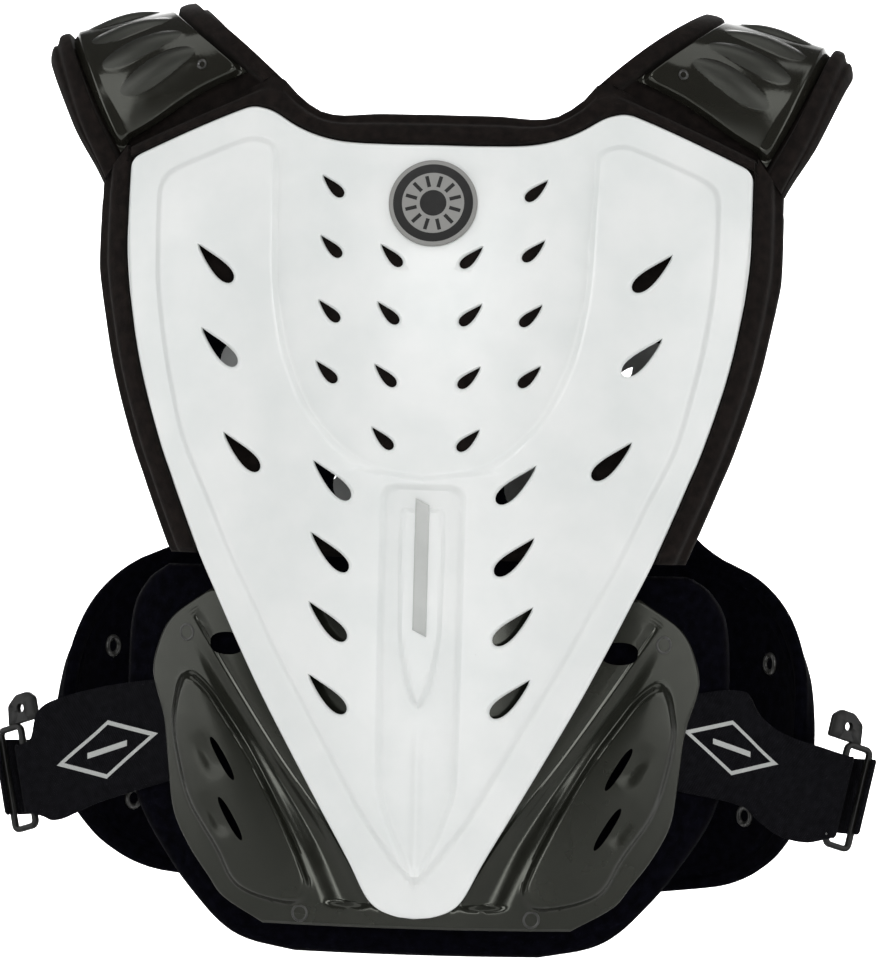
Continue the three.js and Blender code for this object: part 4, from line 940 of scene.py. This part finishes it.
def pad_point(across, angle, height):
    """The shoulder bridge: from its root on the chest or back foam it rises over the shoulder as an
    ellipse, the plan place moving to the apex line as the sine of the angle."""
    turn = np.radians(angle)
    front_x = PAD_ROOT_INNER + (PAD_ROOT_OUTER - PAD_ROOT_INNER) * across
    back_x = PAD_ROOT_INNER + (BACK_TOP_HALF - PAD_ROOT_INNER) * across
    past = np.maximum(front_x - CHEST_HALF, 0)
    edge = np.minimum(front_x, CHEST_HALF)
    top = collar_top(edge) - past / BAND * NOTCH_DROP
    reach_front = -(front_y(front_x, top) + LINER_THICK) + height
    back = back_point(angle_at(back_x), back_top_z(back_x), BACK_ROOT_DEEP, height)
    ahead = angle <= 90
    root_x = np.where(ahead, front_x, back[..., 0])
    reach = np.where(ahead, reach_front, back[..., 1])
    root_z = np.where(ahead, top, back[..., 2])
    apex_x = PAD_APEX_INNER + (PAD_APEX_OUTER - PAD_APEX_INNER) * across
    apex_z = -PAD_SLOPE * across
    rise = np.sin(turn)
    return np.stack(np.broadcast_arrays(
        root_x + (apex_x - root_x) * rise, -np.cos(turn) * reach,
        root_z + PAD_GAP - PAD_SETTLE * (1 - rise) + (apex_z - root_z - PAD_GAP + height) * rise), -1)


def rail_shift(across, angle):
    """Near the chest both rails lie closer to the pad's edges: places between a flange and the
    middle of the bed move out by 0.03 of the width, or in by 0.05 on the neck's side."""
    near = 1 - ramp(angle, 75)
    inner = ramp(across, 0.07) * ramp(0.6 - across, 0.35)
    outer = ramp(across - 0.6, 0.25) * ramp(1 - across, 0.06)
    corner = (1 - ramp(angle, 30)) * ramp(across - 0.75, 0.25)
    return across + near * (0.032 * outer - 0.05 * inner) - 0.022 * corner


def shoulder_pad(name, sign):
    """A foam strip over the shoulder, its profile two raised rails with a flange outside each and a
    flat bed between."""
    knots = np.array([row[0] for row in PAD_PROFILE])
    between = (knots[1:] + knots[:-1]) / 2
    across = np.unique(np.concatenate([knots, between, np.linspace(0.25, 0.84, 10)]))[None]
    angle = np.linspace(0, 180, 91)[:, None]
    height = line(PAD_PROFILE, across)
    shifted = rail_shift(across, angle)
    outer = pad_point(shifted, angle, height)
    under = np.where((across < 0.012) | (across > 0.99), 1.6, 0.0)
    inner = pad_point(shifted, angle, under)
    obj = slab(f"shoulder_foam_{name}", outer * (sign, 1, 1), inner * (sign, 1, 1))
    sharpen(obj, 60)
    return finish_piece(obj, FOAM, "body_foam", f"shoulder_pad_{name}")


def cap_plastic():
    """Glossy olive-black plastic; the domes, marked by the attribute dome, are dull charcoal, and below
    zero the same attribute holds a painted shadow line along each dome's upper side.
    """
    m = Nodes("cap_plastic", (0.03, 0.03, 0.024), 0.16, Specular_IOR_Level=0.6)
    m.shader.inputs["Specular Tint"].default_value = (0.97, 1, 0.9, 1)
    dome_and_shade_mark = m.add("ShaderNodeAttribute", attribute_name="dome").outputs["Fac"]
    # The negative part of the dome attribute is the painted shadow line along each dome's upper side.
    painted_shade_line = m.math("MULTIPLY", m.math("MINIMUM", dome_and_shade_mark, 0.0), 0.6)
    m.tint(m.math("ADD", dome_and_shade_mark, painted_shade_line), (0.012, 0.0115, 0.009), (0.014, 0.014, 0.012), 0.3, 0.7)
    rough = m.math("ADD", m.math("MULTIPLY", dome_and_shade_mark, 0.3), m.math("MULTIPLY", m.noise(140, 5), 0.14))
    m.join(m.math("ADD", rough, 0.06), m.shader.inputs["Roughness"])
    m.bump((m.noise(700, 2), 0.02), (m.noise(50, 2), 0.08))
    return m.material


CAP = cap_plastic()


def shoulder_cap(name, sign):
    """A moulded cap: a flat top inside a bevelled border, carrying four domes. A dome's height goes
    as 1 - r*r, where r is the distance from its middle over an ellipse's two half widths, and a
    fine painted shadow line follows its upper side. The lower edge waves and falls towards the outer
    corner."""
    across = 0.218 + 0.636 * packed(110, 0.5)[None]
    lower = 8.4 - 6.6 * ramp(across - 0.3, 0.5) + 0.5 * np.sin(2.2 * np.pi * (across - 0.2))
    angle = lower + (96.5 - lower) * packed(150, 0.45)[:, None]
    place = rail_shift(across, angle)
    spot = pad_point(place, angle, 10.0)
    step = np.linalg.norm(np.gradient(spot, axis=1), axis=-1)
    a = np.cumsum(step, 1) - step[:, :1]
    step = np.linalg.norm(np.gradient(spot, axis=0), axis=-1)
    b = np.cumsum(step, 0) - step[:1]
    border = soft_min(soft_min(a, a[:, -1:] - a, 4), soft_min(b, b[-1:] - b, 4), 7)
    border = np.maximum(border, 0)
    crown = 3.6 + (CAP_HEIGHT - 3.6) * ramp(border + 0.4, 3.2) + 0.7 * ramp(border, 26)
    dome, dome_and_shade_mark = np.zeros_like(a), np.zeros_like(a)
    middle = np.argmin(np.abs(across[0] - DOME_ACROSS))
    for at, long, wide, slant in DOMES:
        row = np.argmin(np.abs(angle[:, middle] - at))
        u = (a - a[:, middle:middle + 1]) / (DOME_LONG / 2 * long)
        v = (b - b[row, middle] + slant * u) / (DOME_WIDE / 2 * wide)
        r = np.sqrt(u * u + v * v)
        swell = 1 - r * r
        dome = np.maximum(dome, (swell + np.sqrt(swell * swell + 0.02)) / 2)
        # upper picks each dome's upper side, where a painted shadow line is taken out of the mark.
        upper = ramp(v + 0.25 - 0.5 * u, 0.7)
        dome_and_shade_mark = np.maximum(dome_and_shade_mark, ramp(1.03 - r, 0.06)) - 1.5 * bell(r, 1.02, 0.045) * upper
    height = BED + CAP_GAP + crown + DOME_RAISE * dome
    outer = pad_point(place, angle, height)
    inner = pad_point(place, angle, BED + CAP_GAP + np.maximum(crown - CAP_WALL, 0.0))
    obj = slab(f"shoulder_cap_moulded_{name}", outer * (sign, 1, 1), inner * (sign, 1, 1))
    marks = carried(obj, [(outer * (sign, 1, 1), dome_and_shade_mark)], 0.0)
    obj.data.attributes.new("dome", "FLOAT", "POINT").data.foreach_set("value", marks)
    sharpen(obj, 50)
    return finish_piece(obj, CAP, "cap_plastic", f"shoulder_cap_{name}")


# ---- Small turned parts


def basis_of(facing, upward=(0, 0, 1)):
    """Right, up and out directions of a part that faces a way."""
    out = np.asarray(facing, float) / np.linalg.norm(facing)
    right = np.cross(upward, out)
    right /= np.linalg.norm(right)
    return np.stack([right, np.cross(out, right), out])


def turned(name, profile, centre, facing, corners=40):
    """A profile of (radius, height) turned round the facing direction through the centre; a profile
    that comes back to its start is a ring."""
    radius, height = np.asarray(profile, float).T
    turn = full_turn(corners)
    axes = basis_of(facing)
    flat = np.stack([np.cos(turn), np.sin(turn)], -1) @ axes[:2]
    rings = np.asarray(centre) + radius[:, None, None] * flat + height[:, None, None] * axes[2]
    return to_object(name, rings.reshape(-1, 3), grid_faces(len(profile), corners, wrap=True))


def cap_dimple(radius):
    """A sunk head: a dark cup with a fine lip."""
    return [(0, -0.6), (radius * 0.5, -0.5), (radius * 0.8, 0.2), (radius, 0.35), (radius * 1.05, 0.1),
            (radius, -0.6), (0, -1.0)]


def facing_of(surface, x, z):
    """The outward direction of a front surface, from its slopes."""
    return np.array([(surface(x + 2, z) - surface(x - 2, z)) / 4, -1,
                     (surface(x, z + 2) - surface(x, z - 2)) / 4])


def rivets():
    """Sunk heads on the lower plate and the caps, and eyelets on the inner face of the wings."""
    for name, sign in SIDES:
        for label, across, down in PLATE_RIVETS:
            x, z = sign * across * BELLY_HALF, -BELLY_TOP - down * BELLY_HEIGHT
            facing = facing_of(belly_y, x, z)
            unit = facing / np.linalg.norm(facing)
            centre = np.array([x, belly_y(x, z) - float(belly_relief(x, z)), z]) - unit * 0.1
            obj = turned(f"{label}_head_{name}", cap_dimple(4), centre, facing)
            finish_piece(obj, RIVET, "rivet_plastic", f"{label}_{name}")
        top = BED + CAP_GAP + CAP_HEIGHT + 0.6
        at = lambda across, angle: pad_point(np.float64(across), np.float64(angle), top) * (sign, 1, 1)
        centre = at(0.32, 20)
        facing = np.cross(at(0.36, 20) - centre, at(0.32, 24) - centre)
        facing *= -np.sign(facing[1])
        obj = turned(f"cap_rivet_head_{name}", cap_dimple(2.4), centre, facing)
        finish_piece(obj, RIVET, "rivet_plastic", f"cap_rivet_{name}")
        for label, angle, down in WING_RIVETS:
            z = -BACK_TOP - down * BACK_HEIGHT
            deep = curve(BACK_DEEP, down)
            centre = back_point(sign * angle, z, deep, 0)
            beside = back_point(sign * (angle + 1), z, deep, 0) - centre
            facing = np.cross(beside, (0, 0, 1))
            facing *= -np.sign(np.dot(facing[:2], centre[:2]))
            obj = turned(f"{label}_eyelet_{name}", EYELET, centre, facing)
            finish_piece(obj, RIVET, "rivet_plastic", f"{label}_{name}")


# ---- Badge and label


def badge_grey():
    """A grey disc printed with a plain black ring, twelve ticks inside it and a dot. The print is
    worked out from the disc's own map: the radius and the angle from its middle."""
    m = Nodes("badge_grey", (0.3, 0.3, 0.29), 0.42, Specular_IOR_Level=0.25)
    split = m.add("ShaderNodeSeparateXYZ")
    m.join(m.add("ShaderNodeUVMap", uv_map="face").outputs["UV"], split.inputs[0])
    u, v = (m.math("SUBTRACT", split.outputs[i], 0.5) for i in (0, 1))
    radius = m.math("SQRT", m.math("ADD", m.math("MULTIPLY", u, u), m.math("MULTIPLY", v, v)))
    turn = m.math("ARCTAN2", v, u)
    tick = m.math("FRACT", m.math("MULTIPLY", turn, 12 / (2 * math.pi)))
    beside = m.math("MULTIPLY", m.math("ABSOLUTE", m.math("SUBTRACT", tick, 0.5)), radius)
    ring, reach = (m.math("LESS_THAN", m.math("ABSOLUTE", m.math("SUBTRACT", radius, middle)), half)
                   for middle, half in ((0.4, 0.05), (0.255, 0.065)))
    ticks = m.math("MULTIPLY", reach, m.math("LESS_THAN", beside, 0.04))
    ink = m.math("MAXIMUM", m.math("MAXIMUM", ring, ticks), m.math("LESS_THAN", radius, 0.15))
    m.tint(ink, (0.25, 0.25, 0.24), (0.005, 0.005, 0.005), 0.4, 0.6)
    m.polish(m.noise(300, 4), 0.36, 0.52)
    m.bump((m.noise(1500, 2), 0.01))
    return m.material


def badge():
    """The round badge: a disc with a rolled edge, mapped flat on its face."""
    z = level_of(BADGE_DOWN)
    facing = facing_of(front_y, 0.0, z)
    centre = np.array([0, float(front_y(0.0, z)), z])
    radius = BADGE_RADIUS
    profile = [(0, 0.1), (radius - 0.3, 0.1), (radius, 0.4), (radius, 1.0), (radius - 0.2, 1.3),
               (radius - 0.6, 1.42), (radius - 1.2, 1.35), (radius * 0.5, 1.35), (0, 1.35)]
    obj = turned("badge_disc", profile, centre, facing, 96)
    uv = obj.data.uv_layers.new(name="face")
    axes = basis_of(facing)
    corner = np.array([obj.data.vertices[l.vertex_index].co for l in obj.data.loops]) / MM - centre
    flat = corner @ axes[:2].T / (2 * radius) + 0.5
    uv.data.foreach_set("uv", flat.astype(np.float32).reshape(-1))
    sharpen(obj, 50)
    return finish_piece(obj, badge_grey(), "badge_grey", "badge")


def label_grey():
    """Plain grey film."""
    m = Nodes("label_grey", (0.55, 0.58, 0.55), 0.45)
    m.tint(m.noise(60, 3), (0.47, 0.485, 0.47), (0.53, 0.545, 0.53))
    m.polish(m.noise(400, 3), 0.38, 0.52)
    m.bump((m.noise(1200, 2), 0.01))
    return m.material


def label_strip():
    """A thin plain strip on the rib with slanted ends: a grid over its length and width, its edges
    rounded by a quarter circle."""
    along = np.linspace(-0.5, 0.5, 61)[:, None]
    across = np.linspace(-0.5, 0.5, 13)[None]
    x = np.broadcast_to(across * LABEL_WIDE, (61, 13))
    z = level_of(LABEL_DOWN) - along * LABEL_LONG - across * LABEL_SLANT
    border = np.minimum((0.5 - np.abs(across)) * LABEL_WIDE, (0.5 - np.abs(along)) * LABEL_LONG)
    y = front_y(0.0, z) - RAISE * 0.92
    outer = np.stack([x, y - 1.0 + round_off(border, 0.5), z], -1)
    inner = np.stack([x, np.broadcast_to(y - 0.1, x.shape), z], -1)
    obj = slab("label_plain", outer, inner)
    return finish_piece(obj, label_grey(), "label_grey", "label_strip")


# ---- Straps, buckles and hooks

# Where a strap leaves the foam, its heading in plan from there, its lean at the buckle, how far the web
# stands off a bar that it folds round, and how far the bars stand from the buckle's middle.
FOAM_EDGE = BELLY_FOAM_HALF + 2
HEADING = np.array([1, FOAM_EDGE / BELLY_RADIUS]) / math.hypot(1, FOAM_EDGE / BELLY_RADIUS)
LEAN = math.radians(15)
FOLD = math.hypot(BUCKLE_BAR, BUCKLE_THICK) / 2 + WEB_GAP + STRAP_THICK / 2
BAR_OUT = BUCKLE_WIDE / 2 - BUCKLE_BAR / 2


def strap_y(x, z):
    """On the foam as far as its edge, then straight on at the slope it has there."""
    lift = BELLY_WALL + STRAP_GAP + STRAP_THICK / 2
    share = np.clip((x - FOAM_EDGE) / (STRAP_REACH - FOAM_EDGE), 0, 1)
    level = z + (-STRAP_LEVEL - z) * share
    beyond = belly_y(FOAM_EDGE, level) + lift + (x - FOAM_EDGE) * (FOAM_EDGE / BELLY_RADIUS)
    return np.where(x < FOAM_EDGE, belly_y(x, z) + lift, beyond)


def buckle_middle(name):
    """The buckle's middle: its inner bar sits in the fold at the strap's end."""
    top, low = (-STRAP_LEVEL + STRAP_WIDTH * STRAP_EDGES[name][edge][-1][1] for edge in ("top", "low"))
    return np.array([STRAP_REACH + HEADING[0] * BAR_OUT - HEADING[1] * FOLD,
                     float(strap_y(STRAP_REACH, top)) + HEADING[1] * BAR_OUT + HEADING[0] * FOLD,
                     (top + low) / 2])


def webbing(name, marks):
    """Elastic twill: fine slanted ribs with a woven edge. The map runs along the strap and across it;
    where marks is set, a pale lozenge outline with a bar at its middle is woven in."""
    m = Nodes(name, (0.006, 0.006, 0.008), 0.8, Specular_IOR_Level=0.04, Sheen_Weight=0.005)
    split = m.add("ShaderNodeSeparateXYZ")
    m.join(m.add("ShaderNodeUVMap", uv_map="web").outputs["UV"], split.inputs[0])
    along, across = split.outputs[0], split.outputs[1]
    slanted = m.math("ADD", along, m.math("MULTIPLY", across, 0.6))
    rib = m.math("SINE", m.math("MULTIPLY", slanted, 2 * math.pi / 1.3))
    thread = m.math("SINE", m.math("MULTIPLY", across, 2 * math.pi / 0.9))
    weave = m.math("ADD", m.math("MULTIPLY", rib, 0.5), m.math("MULTIPLY", thread, 0.25))
    shade = m.math("ADD", m.math("MULTIPLY", weave, 0.25), m.math("MULTIPLY", m.noise(300, 4), 0.9))
    dark = m.tint(shade, (0.0015, 0.0015, 0.0022), (0.0075, 0.0075, 0.0095), 0.2, 0.8)
    if marks:
        middle, level, long, wide = marks
        beside = m.math("ABSOLUTE", m.math("SUBTRACT", along, middle))
        over = m.math("ABSOLUTE", m.math("SUBTRACT", across, level))
        reach = m.math("ADD", m.math("MULTIPLY", beside, 1 / long), m.math("MULTIPLY", over, 1 / wide))
        lozenge = m.math("LESS_THAN", m.math("ABSOLUTE", m.math("SUBTRACT", reach, 0.925)), 0.075)
        bar = m.math("MULTIPLY", m.math("LESS_THAN", beside, long * 0.4),
                     m.math("LESS_THAN", over, wide * 0.1))
        ink = m.math("MAXIMUM", lozenge, bar)
        mix = m.add("ShaderNodeMix", data_type="RGBA")
        m.join(ink, mix.inputs["Factor"])
        m.join(dark, mix.inputs[6])
        mix.inputs[7].default_value = (0.42, 0.43, 0.42, 1)
        m.join(mix.outputs[2], m.shader.inputs["Base Color"])
    m.bump((weave, 0.09), (m.noise(900, 3), 0.1))
    return m.material


def web(piece, name, sign, path, top, low, low_y, lean, marks, node):
    """A flat web standing on edge: its path in plan, with the heights of its two edges, given a
    thickness along the path's normal and rounded selvedges. Where lean is 1 it follows the
    buckle's bar, its upper edge further out."""
    step = np.gradient(path, axis=0)
    step /= np.linalg.norm(step, axis=1, keepdims=True)
    normal = np.stack([step[:, 1], -step[:, 0]], -1)
    share = packed(20, 0.3)[None]
    z = top[:, None] + (low - top)[:, None] * share
    x = np.broadcast_to(path[:, :1], z.shape)
    y = path[:, 1:] + (low_y - path[:, 1])[:, None] * share
    shift = math.tan(LEAN) * (z - buckle_middle(name)[2]) * lean[:, None]
    x = x + shift * HEADING[0] * sign
    y = y + shift * HEADING[1]
    width = np.abs(top - low)[:, None]
    border = np.minimum(share, 1 - share) * width
    rim = STRAP_THICK / 2
    half = rim * (1 - 0.75 * round_off(border, rim) / rim)
    faces = [np.stack([x + side * half * normal[:, :1], y + side * half * normal[:, 1:], z], -1)
             for side in (1, -1)]
    obj = slab(f"{piece}_{name}", *faces)
    run = np.concatenate([[0], np.cumsum(np.linalg.norm(np.diff(path, axis=0), axis=1))])
    level = np.polyval(np.polyfit(run, (top + low) / 2, 1), run)[:, None]
    map_uv = np.stack(np.broadcast_arrays(run[:, None], level - z), -1)
    place = carried(obj, [(face, map_uv) for face in faces], (0, 0))
    flat = np.array([place[l.vertex_index] for l in obj.data.loops], np.float32)
    obj.data.uv_layers.new(name="web").data.foreach_set("uv", flat.reshape(-1))
    sharpen(obj, 60)
    return finish_piece(obj, webbing(f"webbing_{node}_{name}", marks), "webbing", f"{node}_{name}")


def strap(name, sign):
    """The elastic strap: along the foam and on to the buckle, round its bar and a short way back."""
    out = np.linspace(0, 1, 70)
    edges = STRAP_EDGES[name]
    x = STRAP_START + (STRAP_REACH - STRAP_START) * out
    top = -STRAP_LEVEL + STRAP_WIDTH * curve(edges["top"], out)
    low = -STRAP_LEVEL + STRAP_WIDTH * curve(edges["low"], out)
    y, low_y = strap_y(x, top), strap_y(x, low)
    turn = np.radians(np.linspace(0, 180, 22)[1:])
    along, behind = np.sin(turn) * FOLD, (1 - np.cos(turn)) * FOLD
    back = np.linspace(0, SEWN, 9)[1:]
    px = np.concatenate([x, x[-1] + HEADING[0] * along - HEADING[1] * behind])
    py = np.concatenate([y, y[-1] + HEADING[1] * along + HEADING[0] * behind])
    px = np.concatenate([px, px[-1] - HEADING[0] * back])
    py = np.concatenate([py, py[-1] - HEADING[1] * back])
    grow = lambda values: np.concatenate([values, np.full(len(px) - len(x), values[-1])])
    path = np.stack([px * sign, py], -1)
    lean = ramp(np.abs(path[:, 0]) - STRAP_REACH + 40, 34)
    return web("strap_web", name, sign, path, grow(top), grow(low), py + grow(low_y - y), lean,
               STRAP_MARKS[name], "strap")


def rear_strap(name, sign):
    """The plain web from the buckle's outer bar back round the outside of the back pad."""
    middle = buckle_middle(name)
    bar = middle[:2] + HEADING * BAR_OUT
    turn = np.radians(np.linspace(-90, 90, 20))
    along, behind = np.cos(turn) * FOLD, np.sin(turn) * FOLD
    fold = np.stack([bar[0] + HEADING[0] * along - HEADING[1] * behind,
                     bar[1] + HEADING[1] * along + HEADING[0] * behind], -1)
    deep = curve(BACK_DEEP, (-middle[2] - BACK_TOP) / BACK_HEIGHT)
    lift = BACK_THICK + REAR_GAP + STRAP_THICK / 2
    anchor = back_point(np.array([74.0, 70, 66, 62, 58]), middle[2], deep, lift)[:, :2]
    share = np.linspace(0, 1, 14)[1:-1, None]
    path = np.concatenate([fold, fold[-1] + (anchor[0] - fold[-1]) * share, anchor])
    path = path * (sign, 1)
    rest = np.full(len(path), middle[2])
    tall = STRAP_WIDTH * REAR_SHARE
    lean = 1 - ramp(np.arange(len(path)) - 19, 7)
    return web("rear_web", name, sign, path, rest + tall, rest - tall, path[:, 1], lean, None, "rear_strap")


def in_strap_plane(points, place, sign):
    """Turns points drawn flat (along the strap, up, out) into the strap's plane at a place, leaning
    with their upper end outward."""
    aside, up, off = points[..., :1], points[..., 1:2], points[..., 2:]
    along = np.array([HEADING[0], HEADING[1], 0])
    out = np.array([HEADING[1], -HEADING[0], 0])
    spot = place + (aside * math.cos(LEAN) + up * math.sin(LEAN)) * along
    spot = spot + (up * math.cos(LEAN) - aside * math.sin(LEAN)) * (0, 0, 1) + off * out
    return spot * (sign, 1, 1)


def buckle(name, sign):
    """A rounded frame: a soft square section carried round a rounded rectangle."""
    half_w, half_t, corner = (BUCKLE_WIDE - BUCKLE_BAR) / 2, (BUCKLE_TALL - BUCKLE_BAR) / 2, 2.8
    turn = np.linspace(0, np.pi / 2, 9)
    arcs = [np.stack([right * (half_w - corner) + corner * np.cos(turn + quarter * np.pi / 2),
                      up * (half_t - corner) + corner * np.sin(turn + quarter * np.pi / 2)], -1)
            for quarter, (right, up) in enumerate(((1, 1), (-1, 1), (-1, -1), (1, -1)))]
    path = np.concatenate(arcs)
    ahead = np.roll(path, -1, 0) - np.roll(path, 1, 0)
    ahead /= np.linalg.norm(ahead, axis=1, keepdims=True)
    side = np.stack([ahead[:, 1], -ahead[:, 0]], -1)
    section = full_turn(16)
    u = swollen(np.cos(section), 0.55) * BUCKLE_BAR / 2
    w = swollen(np.sin(section), 0.55) * BUCKLE_THICK / 2
    flat = path[:, None] + side[:, None] * u[None, :, None]
    rings = np.concatenate([flat, np.broadcast_to(w[None, :, None], (*flat.shape[:2], 1))], -1)
    obj = tube(f"buckle_frame_{name}", in_strap_plane(rings, buckle_middle(name), sign), closed=True)
    return finish_piece(obj, BUCKLE, "buckle_plastic", f"buckle_{name}")


def hook(name, sign):
    """The angular tab above the buckle: rings from its round hole out to its outline, front and
    back, with eased edges."""
    w, t = HOOK_WIDE, HOOK_TALL
    outline = np.array([(-w / 2, -t / 2), (w / 2, -t / 2), (w * 0.42, t * 0.2), (w * 0.1, t / 2),
                        (-w * 0.3, t / 2), (-w / 2, t * 0.25), (-w / 2, -t / 2)])
    length = np.concatenate([[0], np.cumsum(np.linalg.norm(np.diff(outline, axis=0), axis=1))])
    at = np.linspace(0, length[-1], 97)[:-1]
    border = np.stack([np.interp(at, length, outline[:, i]) for i in (0, 1)], -1)
    border = sum(np.roll(border, k, 0) for k in range(-2, 3)) / 5
    aim = np.arctan2(border[:, 1], border[:, 0])
    hole = np.stack([np.cos(aim), np.sin(aim)], -1) * HOOK_HOLE / 2
    rows = []
    for share, depth in ((0, 0.7), (0.05, 1), (0.93, 1), (1, 0.7), (1, -0.7), (0.93, -1), (0.05, -1),
                         (0, -0.7)):
        flat = hole + (border - hole) * share
        rows.append(np.concatenate([flat, np.full((len(flat), 1), depth * BUCKLE_THICK / 2)], 1))
    rings = np.stack(rows) + (-10, BUCKLE_TALL / 2 + HOOK_TALL / 2 - 0.6, 0)
    obj = tube(f"hook_tab_{name}", in_strap_plane(rings, buckle_middle(name), sign), closed=True)
    sharpen(obj, 50)
    return finish_piece(obj, BUCKLE, "buckle_plastic", f"hook_{name}")


chest_shell()
chest_liner()
belly_shell()
belly_liner()
back_liner()
back_shell()
badge()
label_strip()
rivets()
for side_name, side_sign in SIDES:
    shoulder_pad(side_name, side_sign)
    shoulder_cap(side_name, side_sign)
    strap(side_name, side_sign)
    rear_strap(side_name, side_sign)
    buckle(side_name, side_sign)
    hook(side_name, side_sign)


# ---- Camera, light and floor


def camera():
    """Three metres off, level, a little to the wearer's left, rolled to the photograph's slant."""
    yaw, roll, distance, level = math.radians(3.5), math.radians(1.5), 3.0, -0.2164
    back = Vector((math.sin(yaw), -math.cos(yaw), 0))
    right = Vector((math.cos(yaw), math.sin(yaw), 0))
    data = bpy.data.cameras.new("camera")
    data.sensor_width = 36
    data.lens = distance / (PIXEL * MM) * data.sensor_width / PHOTO_LONG
    cam = bpy.data.objects.new("camera", data)
    turn = (-back).to_track_quat("-Z", "Y").to_matrix().to_4x4() @ Matrix.Rotation(roll, 4, "Z")
    cam.matrix_world = Matrix.Translation(Vector((0, 0, level)) + back * distance + right * 0.0036) @ turn
    bpy.context.scene.collection.objects.link(cam)
    bpy.context.scene.camera = cam


def softbox(name, place, aim, size, power):
    """A white rectangular light aimed at a point."""
    data = bpy.data.lights.new(name, "AREA")
    data.shape = "RECTANGLE"
    data.size, data.size_y = size
    data.energy = power
    obj = bpy.data.objects.new(name, data)
    obj.location = place
    obj.rotation_euler = (Vector(aim) - Vector(place)).to_track_quat("-Z", "Y").to_euler()
    bpy.context.scene.collection.objects.link(obj)


def stage():
    """A pale floor that curves up into a wall far behind."""
    floor, radius = -0.75, 2.0
    turn = np.linspace(0, np.pi / 2, 17)
    y = np.concatenate([[-12], 6 + radius * np.sin(turn), [8]])
    z = np.concatenate([[floor], floor + radius * (1 - np.cos(turn)), [7]])
    points = np.stack(np.broadcast_arrays(np.array([-12, 12]), y[:, None], z[:, None]), -1)
    mesh = bpy.data.meshes.new("floor")
    mesh.from_pydata(points.reshape(-1, 3).tolist(), [], grid_faces(len(y), 2))
    obj = bpy.data.objects.new("floor", mesh)
    bpy.context.scene.collection.objects.link(obj)
    mesh.shade_smooth()
    pale = Nodes("pale_floor", (0.9, 0.9, 0.9), 0.9, Specular_IOR_Level=0.1)
    pale.tint(pale.noise(3, 2), (0.9, 0.9, 0.9), (0.93, 0.93, 0.93))
    mesh.materials.append(pale.material)


camera()
stage()
softbox("overhead", (0, -0.8, 2.0), (0, 0, -0.1), (4.4, 1.9), 32)
softbox("front", (0, -3.6, 1.25), (0, 0, -0.25), (1.8, 0.9), 37)
softbox("low", (0, -3.2, -0.6), (0, 0, -0.25), (2.4, 0.4), 19)
softbox("left", (-3.0, -0.7, 0.1), (0, 0, -0.25), (2.4, 2.2), 29)
softbox("right", (3.0, -0.7, 0.1), (0, 0, -0.25), (2.4, 2.2), 31)
softbox("rear", (0, 2.4, 1.6), (0, 0, -0.2), (2.0, 1.2), 8)
softbox("wall", (0, 5.0, 3.6), (0, 8, 0.2), (7, 1.5), 800)
world = bpy.data.worlds.new("studio")
world.use_nodes = True
world.node_tree.nodes["Background"].inputs["Color"].default_value = (1, 1, 1, 1)
world.node_tree.nodes["Background"].inputs["Strength"].default_value = 0.08
bpy.context.scene.world = world
bpy.context.scene.view_settings.view_transform = "Standard"

bpy.context.view_layer.update()
